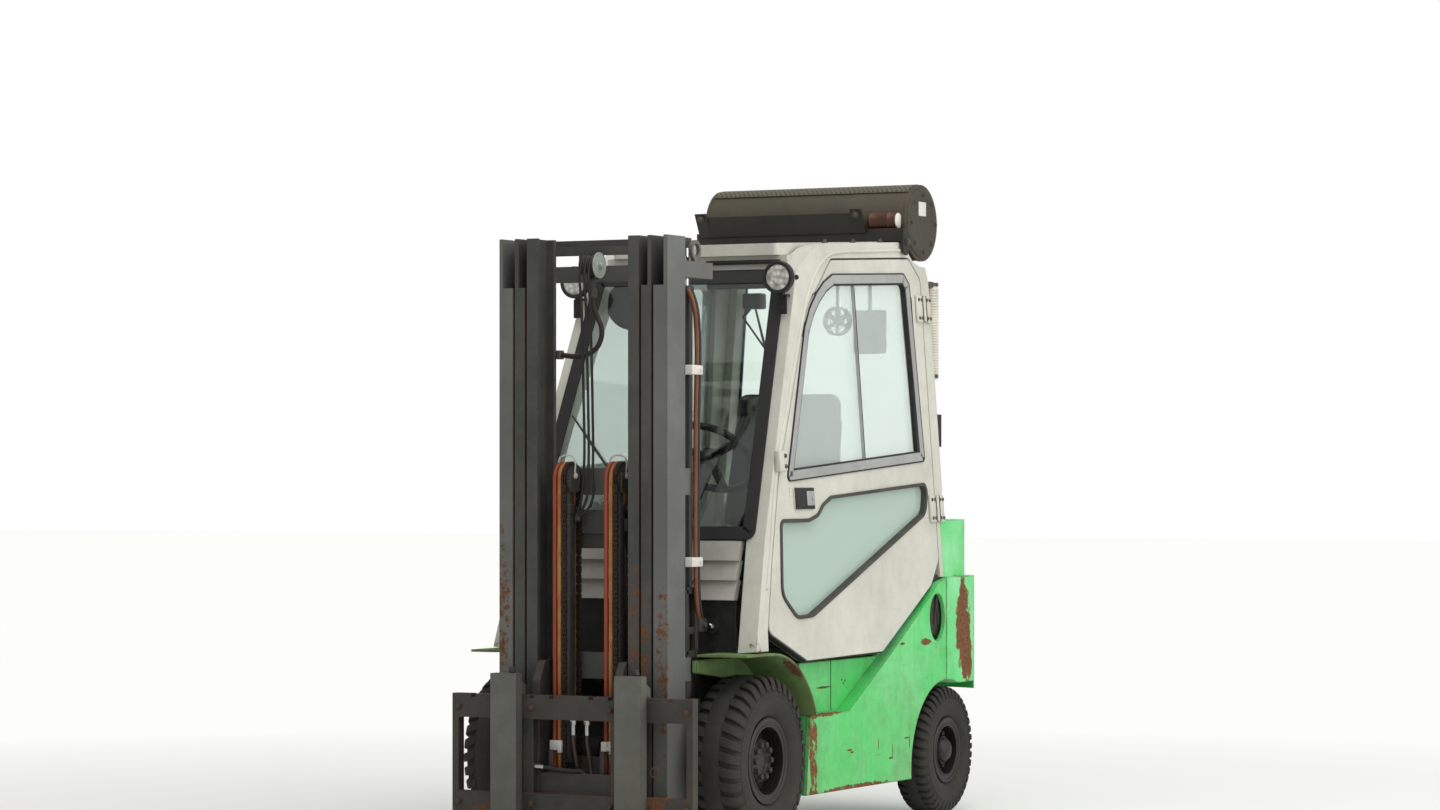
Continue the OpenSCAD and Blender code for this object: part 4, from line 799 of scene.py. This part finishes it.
# Four hydraulic levers with ball knobs stand on the dash, and two pedals on the floor below it. They are
# steel rods with moulded black knobs and pads.
bm = bmesh.new()
for x in (-190, -222, -254, -286):
    rod(bm, (x, 190, 1000), (x, 235, 1122), 6, 12)
    bmesh.ops.create_uvsphere(bm, u_segments=16, v_segments=10, radius=17,
                              matrix=Matrix.Translation((x, 238, 1132)) @ Matrix.Diagonal((1, 1, 1.25, 1)))
for x in (-150, -60):
    rod(bm, (x, 150, 790), (x, 262, 700), 8, 12)
    slab(bm, (x - 38, x + 38), (252, 275), (655, 735), 5)
build("levers_and_pedals", bm, black_plastic, "chassis")


# Work lamps: a finned case of black plastic with a faceted clear lens, drawn opaque, whose pale and dark
# cells are painted reflections of a bright reflector. Each is bolted to an arm on the front post.
ALONG_Y = Matrix.Rotation(math.radians(90), 3, "Z")
lamp_lens, tree, shader = material("faceted_lens_painted_reflections")
cells = add(tree, "TexVoronoi", {"Vector": add(tree, "TexCoord").outputs["Object"], "Scale": 62})
# Pale and dark cells: painted reflections.
tint = add(tree, "Mix", {0: cells, 6: linear("#E4E4DA"), 7: linear("#7B7D77")}, data_type="RGBA")
facet = add(tree, "Bump", {"Height": cells, "Strength": 0.9, "Distance": 0.006})
add(tree, shader, {"Base Color": tint, "Normal": facet, "Roughness": 0.12, "Coat Weight": 0.6})
for word, side in SIDES:
    centre = Vector((side * 400, 312, 1925))
    bm = bmesh.new()
    rolled(bm, [(-1.5, 0.01), (-1.5, 34), (0, 45), (6, 46)], centre + Vector((0, -22, 0)), 40, closed=False,
           turn=ALONG_Y)
    build(f"{word}_lamp_lens", bm, lamp_lens, "chassis")

    bm = bmesh.new()
    case = centre + Vector((0, -20, 0))
    rolled(bm, [(-5, 44), (-6, 47), (-6, 54), (-3, 57), (14, 57), (20, 54), (20, 44)], case, 40, turn=ALONG_Y)
    for fin in (22, 29, 36):
        rim = 48 - (fin - 22) * 0.7
        rolled(bm, [(fin, 20), (fin, rim), (fin + 3, rim), (fin + 3, 20)], case, 40, turn=ALONG_Y)
    slab(bm, (side * 392, side * 420), (318, 324), (1800, 1866), 2)
    nut(bm, centre + Vector((side * 56, 6, 0)), (side, 0, 0), 13, 7)
    nut(bm, centre + Vector((0, 10, -66)), (0, -1, 0), 13, 7)
    nut(bm, (side * 406, 318, 1822), (0, -1, 0), 13, 7)
    build(f"{word}_lamp_case", bm, black_plastic, "chassis")


# The rear lamps are moulded plastic blocks with a red, an amber and a clear lens over each other. They
# are fixed to the rear posts.
for label, colour, low, high in (("red", "#8E1712", 1432, 1466), ("amber", "#C97814", 1394, 1428),
                                 ("clear", "#DADADA", 1354, 1390)):
    coloured = moulded(f"{label}_lamp_lens", colour, colour, roughness=0.15, grain_mm=4)
    bm = bmesh.new()
    for side in (1, -1):
        slab(bm, (side * 411, side * 445), (1550, 1558), (low, high), 3)
    build(f"rear_{label}_lenses", bm, coloured, "chassis")


# The exhaust filter is a drum of rolled steel, its black paint baked brown. It lies in a folded frame that
# is bolted to the roof.
drum_steel = weathered("baked_black_drum", "#38352B", "#454132", "#5A4C33", "#6E4026", grime_share=0.5,
                       rust_share=0.22, low_dirt=0, roughness=0.5, edge_mm=4)
dress(drum_steel, "exhaust_drum")
rack_black = weathered("sprayed_black_rack", "#171716", "#201F1E", "#463B2D", "#6E4026", grime_share=0.35,
                       rust_share=0.25, low_dirt=0, roughness=0.45, edge_mm=4)
dress(rack_black, "drum_frame")
bm = bmesh.new()
for x in (-385, 253):
    nut(bm, (x, 1222, 2199), (0, -0.885, -0.464), 20, 9)
for side in (1, -1):
    nut(bm, (side * 425, 1296, 2098), (side, 0, 0), 20, 9)
build("rack_bolts", bm, nut_steel, "chassis", sharp=20)


# The drum wears a strip of perforated sheet as a heat shield, and pressed end caps with blank plates.
# A small copper pressure cell with a pale end sits on its front.
perforated, tree, shader = material("perforated_shield_sheet")
spot = add(tree, "TexCoord").outputs["Object"]
waves = []
for slant in (38, -38):
    turned = add(tree, "Mapping", {"Vector": spot, "Rotation": (0, 0, math.radians(slant))})
    waves.append(add(tree, "TexWave", {"Vector": turned, "Scale": 21}, bands_direction="X").outputs[1])
crossing = add(tree, "Math", {0: waves[0], 1: waves[1]}, operation="MULTIPLY")
hole = add(tree, "MapRange", {"Value": crossing, "From Min": 0.42, "From Max": 0.5})
# The holes' near-black colour is the dark drum behind them and painted shade in the holes.
tint = add(tree, "Mix", {0: hole, 6: linear("#6A6550"), 7: linear("#191713")}, data_type="RGBA")
sunk = add(tree, "Bump", {"Height": hole, "Strength": 0.8, "Distance": -0.003})
add(tree, shader, {"Base Color": tint, "Normal": sunk, "Metallic": 0.5, "Roughness": 0.45})

DRUM = Vector((0, 1450, 2174))
SHIELD_HALF_TURN = math.radians(38)
bm = bmesh.new()
SHEET = ((-400, 139.5), (-400, 143), (400, 143), (400, 139.5))
strip = [bm.verts.new(DRUM + Vector((x, 0, r))) for x, r in SHEET]
edges = [bm.edges.new(pair) for pair in zip(strip, strip[1:] + strip[:1])]
bmesh.ops.rotate(bm, verts=strip, cent=DRUM, matrix=Matrix.Rotation(SHIELD_HALF_TURN, 3, "X"))
bmesh.ops.spin(bm, geom=strip + edges, cent=DRUM, axis=(1, 0, 0), dvec=(0, 0, 0), angle=-2 * SHIELD_HALF_TURN,
               steps=20)
bmesh.ops.holes_fill(bm, edges=[e for e in bm.edges if len(e.link_faces) == 1], sides=4)
build("drum_heat_shield", bm, perforated, "chassis")

cap_paint = weathered("sprayed_grey_cap", "#302F28", "#3B3A30", "#463A2B", "#6E4026", grime_share=0.5,
                      rust_share=0.2, low_dirt=0, roughness=0.5, edge_mm=3)
bm = bmesh.new()
for side in (1, -1):
    rolled(bm, [(408, 0.01), (416, 0.01), (416, 84), (420, 92), (420, 118), (416, 128), (408, 130)], DRUM, 64,
           closed=False, side=side)
    for turn in [math.radians(45 * i) for i in range(8)]:
        nut(bm, DRUM + Vector((side * 419, 105 * math.cos(turn), 105 * math.sin(turn))), (side, 0, 0), 13, 6)
build("drum_caps", bm, cap_paint, "chassis")
blank_white = moulded("blank_white_plate", "#D8D6D0", "#B5B0A6", roughness=0.4)
bm = bmesh.new()
slab(bm, (415, 417.5), (1418, 1482), (2200, 2252), 1)
build("drum_blank_plate", bm, blank_white, "chassis")

CELL = Vector((0, 1300, 2176))
copper = weathered("dull_copper_cell", "#53382B", "#664534", "#4E3023", "#6E4026", grime_share=0.4,
                   rust_share=0.05, low_dirt=0, roughness=0.4, metallic=0.6, edge_mm=2)
bm = bmesh.new()
rolled(bm, [(279, 20), (279, 33), (286, 36), (292, 33), (352, 33), (358, 36), (364, 33), (386, 33), (386, 20)],
       CELL, 40)
build("pressure_cell", bm, copper, "chassis")
bm = bmesh.new()
rolled(bm, [(386, 0.01), (394, 0.01), (394, 20), (391, 27), (386, 29)], CELL, 40, closed=False)
build("pressure_cell_end", bm, blank_white, "chassis")


# The drum's air hose is a blown plastic bellows. A zinc plated band clamps it at each end.
UPRIGHT = Matrix.Rotation(math.radians(-90), 3, "Y")
HOSE_FOOT = Vector((400, 1560, 1600))
bm = bmesh.new()
ribs = [(0, 20), (0, 26), (16, 26)]
for z in range(20, 340, 10):
    ribs += [(z, 27), (z + 2, 31.5), (z + 6, 31.5), (z + 8, 27)]
rolled(bm, ribs + [(344, 26), (360, 26), (360, 20)], HOSE_FOOT, 24, turn=UPRIGHT)
hose_piece = build("ribbed_air_hose", bm, duct_plastic, "chassis")
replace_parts(hose_piece, "air_hose")
bm = bmesh.new()
for z in (1606, 1946):
    slab(bm, (380, 420), (1514, 1545), (z - 6, z + 16), 3)
    rolled(bm, [(0, 26), (0, 29), (12, 29), (12, 26)], (400, 1560, z), 32, turn=UPRIGHT)
build("air_hose_bands", bm, nut_steel, "chassis")


# The mast is three pairs of rolled channels in each other, joined by welded ties, sprayed charcoal.
# Rollers and dirt have rubbed rusty lines down them.
mast_paint = weathered("sprayed_charcoal_channel", "#343634", "#424441", "#57534B", "#74492A", grime_share=0.4,
                       rust_share=0.36, low_dirt=0.3, scratches=0.4, roughness=0.45, edge_mm=4, edge_wear=1.0,
                       marks=(((-320, -366, 760), (60, 20, 420), 0.14),
                              ((214, -366, 700), (60, 20, 420), 0.14)))
dress(mast_paint, "mid_mast", "inner_mast", "lift_head")
carriage_paint = weathered("sprayed_black_carriage", "#222321", "#2E2F2C", "#514A3F", "#74492A",
                           grime_share=0.45, rust_share=0.28, low_dirt=0.4, scratches=0.5, roughness=0.5,
                           edge_mm=5, edge_wear=1.0,
                           marks=(((320, -430, 200), (110, 40, 130), 0.24),
                                  ((-300, -430, 130), (160, 40, 40), 0.22)))
dress(carriage_paint, "carriage")
# The outer mast has the same charcoal paint as the inner channels, made lighter: painted sheen for the light
# its sides catch.
lit_outer_mast_paint = weathered("charcoal_channel_painted_sheen", "#595B58", "#666864", "#57534B", "#74492A", grime_share=0.3,
                        rust_share=0.34, low_dirt=0.3, scratches=0.4, roughness=0.42, edge_mm=4, edge_wear=1.0,
                        marks=(((305, -366, 640), (40, 30, 420), 0.17),
                               ((-305, -366, 800), (40, 30, 420), 0.17)))
dress(lit_outer_mast_paint, "outer_mast")
fork_steel = weathered("forged_fork_steel", "#5E615B", "#70736C", "#5A5045", "#70472D", grime_share=0.35,
                       rust_share=0.25, low_dirt=0.4, scratches=0.5, roughness=0.5, edge_mm=4, metallic=0.35)
dress(fork_steel, "forks")
cylinder_paint = weathered("sprayed_black_tube", "#232322", "#2E2E2C", "#453E34", "#5E3B26", rust_share=0.12,
                           roughness=0.4)
dress(cylinder_paint, "lift_cylinders", "free_lift_cylinders", "tilt_cylinders")

rod_chrome, tree, shader = material("hard_chrome_rod")
oil = add(tree, "TexNoise", {"Vector": add(tree, "TexCoord").outputs["Object"], "Scale": 30, "Detail": 5})
tint = add(tree, "Mix", {0: oil, 6: linear("#CBCDCF"), 7: linear("#96948E")}, data_type="RGBA")
rough = add(tree, "MapRange", {"Value": oil, "To Min": 0.08, "To Max": 0.35})
add(tree, shader, {"Base Color": tint, "Roughness": rough, "Metallic": 1.0})
dress(rod_chrome, "lift_rods", "tilt_rods")
chain_steel = weathered("oiled_leaf_chain", "#2B2826", "#383430", "#40382E", "#5E3B26", rust_share=0.2,
                        roughness=0.4, metallic=0.5, edge_mm=1)
dress(chain_steel, "lift_chains")
hose_rubber = moulded("black_hose_rubber", "#1C1B1A", "#37332C", roughness=0.6, grain_mm=3)
dress(hose_rubber, "mast_hoses")


# The lift chains are leaf chain: rows of punched plates on pins, of 15.9 mm pitch. Each runs from the
# inner mast over a sheave down to the carriage, with two red rubber hoses beside it.
PITCH = 15.875
SHEAVE_X, SHEAVE_Y, SHEAVE_Z, LOOP_R = 98, -297, 1235, 50
FRONT_Y, REAR_Y = SHEAVE_Y - LOOP_R, SHEAVE_Y + LOOP_R
OVER = [(SHEAVE_Y - LOOP_R * math.cos(t), SHEAVE_Z + LOOP_R * math.sin(t), -t)
        for t in [i * math.pi / 10 for i in range(11)]]


def links(bm, x, stations):
    """Chain plates and pins: stations are (y, z, turn about X), one pitch apart."""
    crosswise = Matrix.Rotation(math.radians(90), 4, "Y")
    plate = Matrix.Diagonal((2.3, 6.6, 15.2, 1)) @ crosswise @ Matrix.Rotation(math.radians(22.5), 4, "Z")
    for i, (y, z, turn) in enumerate(stations):
        place = Matrix.Translation((x, y, z)) @ Matrix.Rotation(turn, 4, "X")
        for offset in ((-6.5, -1.3, 1.3, 6.5) if i % 2 else (-3.9, 3.9)):
            bmesh.ops.create_cone(bm, cap_ends=True, segments=8, radius1=1, radius2=1, depth=1,
                                  matrix=place @ Matrix.Translation((offset, 0, PITCH / 2)) @ plate)
        bmesh.ops.create_cone(bm, cap_ends=True, segments=8, radius1=2.7, radius2=2.7, depth=20,
                              matrix=place @ crosswise)


def hang(name, bm, finish):
    """A leg built where it stands, hung on no body."""
    piece = build(name, bm, finish, None)
    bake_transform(piece)


def hose(name, finish, body, runs, radius, finer=8):
    """A piece of hose through each run of points."""
    bm = bmesh.new()
    for run in runs:
        tube(bm, run, radius, finer)
    return build(name, bm, finish, body, sharp=50)


red_hose = moulded("red_hose_rubber", "#8A3A1F", "#6B3A22", roughness=0.5, grain_mm=3)
# The ochre hose's yellow patches are painted glints.
ochre_hose = moulded("ochre_hose_rubber_painted_glints", "#8C4A20", "#C09A48", roughness=0.5, grain_mm=3)
# The red hose's pale patches are painted glints.
glinting_red_hose = moulded("red_hose_rubber_painted_glints", "#642F1C", "#86602F", roughness=0.5, grain_mm=3)
brown_hose = moulded("brown_hose_rubber", "#2C1D17", "#4A3226", roughness=0.5, grain_mm=3)
GUARD = ((-30, 1250), (-30, 1298), (-22, 1308), (22, 1308), (30, 1298), (30, 1250))
LEGS = (("rear", "inner_mast", REAR_Y, 302, 302), ("front", "carriage", FRONT_Y, 258, 257))
for word, side, chain_x, hoses in (("right", -1, -80, (-116, -98)), ("left", 1, 116, (80, 98))):
    for leg, body, y, foot, _ in LEGS:
        bm = bmesh.new()
        links(bm, chain_x, [(y, foot + i * PITCH, 0) for i in range(int((SHEAVE_Z - foot) / PITCH))])
        hang(f"{word}_chain_{leg}", bm, chain_steel)
    bm = bmesh.new()
    links(bm, chain_x, OVER[:10])
    top = build(f"{word}_chain_top", bm, chain_steel, "lift_head")
    if word == "left":
        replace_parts(top, "lift_chains")

    for i, (x, colour) in enumerate(zip(hoses, (red_hose, ochre_hose))):
        for leg, body, y, _, foot in LEGS:
            bm = bmesh.new()
            rod(bm, (x, y, foot), (x, y, SHEAVE_Z + 1), 7.5, 16)
            hang(f"{word}_hose_{i}_{leg}", bm, colour)
        top = hose(f"{word}_hose_{i}_top", colour, "lift_head", [[(x, y, z) for y, z, turn in OVER]], 7.5, 3)
        if x == SHEAVE_X:
            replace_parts(top, "mast_hoses")

    # A bent wire keeps them on the sheave
    bm = bmesh.new()
    tube(bm, [(side * SHEAVE_X + x, SHEAVE_Y, z) for x, z in GUARD], 3.2)
    for out in (-1, 1):
        nut(bm, (side * SHEAVE_X + out * 32, SHEAVE_Y, 1244), (out, 0, 0), 15, 5)
    build(f"{word}_sheave_guard", bm, cab_paint, "lift_head")

    # The hoses end in pale clamps on the carriage
    middle = sum(hoses) / 2
    bm = bmesh.new()
    slab(bm, (min(hoses) - 14, max(hoses) + 14), (FRONT_Y - 14, FRONT_Y + 12), (318, 360), 4)
    for z in (328, 350):
        nut(bm, (middle, FRONT_Y - 14, z), (0, -1, 0), 9, 4)
    build(f"{word}_hose_clamp", bm, blank_white, "carriage")
    bm = bmesh.new()
    slab(bm, (middle - 9, middle + 9), (-392, -386), (196, 330), 1.5)
    slab(bm, (middle - 9, middle + 9), (-391, FRONT_Y - 12), (320, 328), 1.5)
    build(f"{word}_clamp_bracket", bm, carriage_paint, "carriage")

    # Screwed glands with a hose fitting on the free lift cylinders
    bm = bmesh.new()
    rolled(bm, [(1118, 22), (1118, 30), (1126, 31), (1146, 31), (1150, 28), (1150, 22)],
           (side * SHEAVE_X, SHEAVE_Y, 0), 24, turn=UPRIGHT)
    nut(bm, (side * 70, -285, 1100), (-side, 0.4, 0), 20, 14)
    build(f"{word}_free_lift_gland", bm, cylinder_paint, "inner_mast")


# A hose pulley on the inner mast's top tie carries three black hoses down to the right free lift
# cylinder, and a spare loop hangs from the tie to the right rail.
PULLEY_Y, PULLEY_Z = -262, 1950
bm = bmesh.new()
rolled(bm, [(-57, 10), (-57, 30), (-54, 32), (-52, 26), (-44, 26), (-40, 32), (-38, 32), (-35, 26), (-27, 26),
            (-23, 32), (-21, 32), (-18, 26), (-10, 26), (-7, 32), (-4, 30), (-4, 10)],
       (0, PULLEY_Y, PULLEY_Z), 32)
for cheek in ((-66, -59), (-2, 4)):
    slab(bm, cheek, (-275, -228), (1928, 1985), 3)
rod(bm, (-68, PULLEY_Y, PULLEY_Z), (6, PULLEY_Y, PULLEY_Z), 9)
build("hose_pulley", bm, cylinder_paint, "inner_mast")
zinc_plate = weathered("zinc_plated_disc", "#AEB8AE", "#C2CAC0", "#6A675C", "#74492A", grime_share=0.25,
                       rust_share=0.05, low_dirt=0, roughness=0.35, metallic=0.3)
bm = bmesh.new()
rod(bm, (5, PULLEY_Y, PULLEY_Z), (9, PULLEY_Y, PULLEY_Z), 44, 32)
nut(bm, (9, PULLEY_Y, PULLEY_Z), (1, 0, 0), 17, 8)
build("hose_pulley_disc", bm, zinc_plate, "inner_mast")
hose("free_lift_hoses", hose_rubber, "inner_mast",
     [[(x, -240, 1905), (x, -236, 1950), (x, -262, 1981), (x, -290, 1950), (x, -286, 1800), (x, -272, 1500),
       (x, -270, 1260), (x - 6, -276, 1170 - 12 * i), (-72, -288, 1098)]
      for i, x in enumerate((-48, -31, -14))], 4.6)

LOOP_X, LOOP_Y = -41, -218
bm = bmesh.new()
slab(bm, (-52, -30), (-228, -223), (1842, 2010), 1.5)
nut(bm, (LOOP_X, -223, 1990), (0, 1, 0), 13, 6)
rod(bm, (LOOP_X, LOOP_Y, 1876), (LOOP_X, LOOP_Y, 1846), 13, 6)
slab(bm, (-178, -160), (-238, -205), (1638, 1668), 3)
build("hose_loop_strap", bm, nut_steel, "inner_mast")
LOOP = [(x, LOOP_Y, z) for x, z in ((LOOP_X, 1850), (-39, 1815), (-24, 1778), (-9, 1738), (-14, 1697),
                                    (-39, 1666), (-76, 1650), (-114, 1647), (-144, 1650), (-166, 1653))]
loop = hose("spare_hose_loop", brown_hose, "inner_mast", [LOOP], 9, 10)


# Two hoses run down the back of the outer mast's left rail in pale clamps, one red and one black, to the
# lift valve. A gland closes the top of each main lift cylinder.
RAIL_X = 333
for label, finish, y in (("red", glinting_red_hose, -190), ("black", hose_rubber, -172)):
    hose(f"mast_{label}_hose", finish, "outer_mast",
         [[(306, y - 4, 1868), (322, y - 2, 1830), (RAIL_X, y, 1770), (RAIL_X, y, 1400),
           (RAIL_X, y, 950), (332, y + 6, 860), (326, y + 30, 790), (318, y + 62, 758)]], 8)
bm = bmesh.new()
for z in (1597, 957):
    slab(bm, (302, 347), (-238, -160), (z - 16, z + 16), 4)
    nut(bm, (347, -181, z), (1, 0, 0), 10, 5)
build("mast_hose_clamps", bm, blank_white, "outer_mast")
bm = bmesh.new()
slab(bm, (296, 330), (-150, -94), (722, 766), 4)
slab(bm, (304, 318), (-240, -148), (716, 740), 2)
nut(bm, (330, -122, 744), (1, 0, 0), 17, 8)
seal(bm, ((-238, 640), (-164, 640), (-150, 660), (-150, 850), (-170, 872), (-238, 872)), 8, 0, 20, 306, 322)
build("lift_valve", bm, cylinder_paint, "outer_mast")
for word, side in SIDES:
    bm = bmesh.new()
    rolled(bm, [(1842, 22), (1842, 31), (1850, 33), (1872, 33), (1880, 30), (1880, 22)],
           (side * 275, -160, 0), 24, turn=UPRIGHT)
    build(f"{word}_lift_gland", bm, cylinder_paint, "outer_mast")


# Bolts on the carriage's bars and a sprung locking pin on each fork's hook, with a ring on the frame.
# Short hoses with chromed ends lie between the bars.
CARRIAGE_FACE = -445
FORK_X, HOOK_Y = 236, -427
RING_X, RING_Z, RING_R = 318, 271, 15
BAR_HOSE_X = (0, 52)
bm = bmesh.new()
for side in (1, -1):
    for z in (150, 470):
        for x in (432, 150):
            nut(bm, (side * x, CARRIAGE_FACE, z), (0, -1, 0), 18, 9)
    pin = (side * FORK_X, HOOK_Y)
    rod(bm, (*pin, 545), (*pin, 590), 9)
    rod(bm, (*pin, 588), (*pin, 606), 13, 16, 10)
turns = [i * math.tau / 12 for i in range(13)]
tube(bm, [(RING_X + RING_R * math.cos(t), -450, RING_Z + RING_R * math.sin(t)) for t in turns], 2.5, 3)
rod(bm, (RING_X, -456, RING_Z + RING_R), (RING_X, -430, RING_Z + RING_R), 5)
build("carriage_bolts", bm, carriage_paint, "carriage", sharp=25)
hose("carriage_hoses", brown_hose, "carriage",
     [[(x, -425, 400), (x, -425, 360), (x + 3, -412, 300), (x, -398, 268), (x, -398, 250)]
      for x in BAR_HOSE_X], 6.5)
hose("carriage_cross_hose", hose_rubber, "carriage",
     [[(-149, -424, 276), (-110, -424, 274), (-60, -422, 268), (-14, -414, 264), (18, -403, 262),
       (30, -398, 250)]], 7.5)
bm = bmesh.new()
for x in BAR_HOSE_X:
    rod(bm, (x, -425, 436), (x, -425, 384), 8.5, 16)
    nut(bm, (x, -425, 433), (0, 0, -1), 20, 14)
rod(bm, (-148, -424, 276), (-112, -424, 274.2), 10, 16)
build("carriage_hose_ends", bm, rod_chrome, "carriage", sharp=25)


# Bolts with turned rubber bosses hold the bulkhead's cover plate in front of the cowl.
bm = bmesh.new()
bolts = bmesh.new()
BOSS_X, BOSS_Z = 304, 736
for x in (BOSS_X, -BOSS_X):
    rod(bm, (x, -10, BOSS_Z), (x, -22, BOSS_Z), 30, 28, 26)
    rod(bm, (x, -10, 668), (x, -18, 668), 16, 20, 14)
    nut(bolts, (x, -22, BOSS_Z), (0, -1, 0), 19, 9)
build("bulkhead_bosses", bm, seal_rubber, "chassis")
build("bulkhead_bolts", bolts, rod_chrome, "chassis", sharp=25)


low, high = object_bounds()
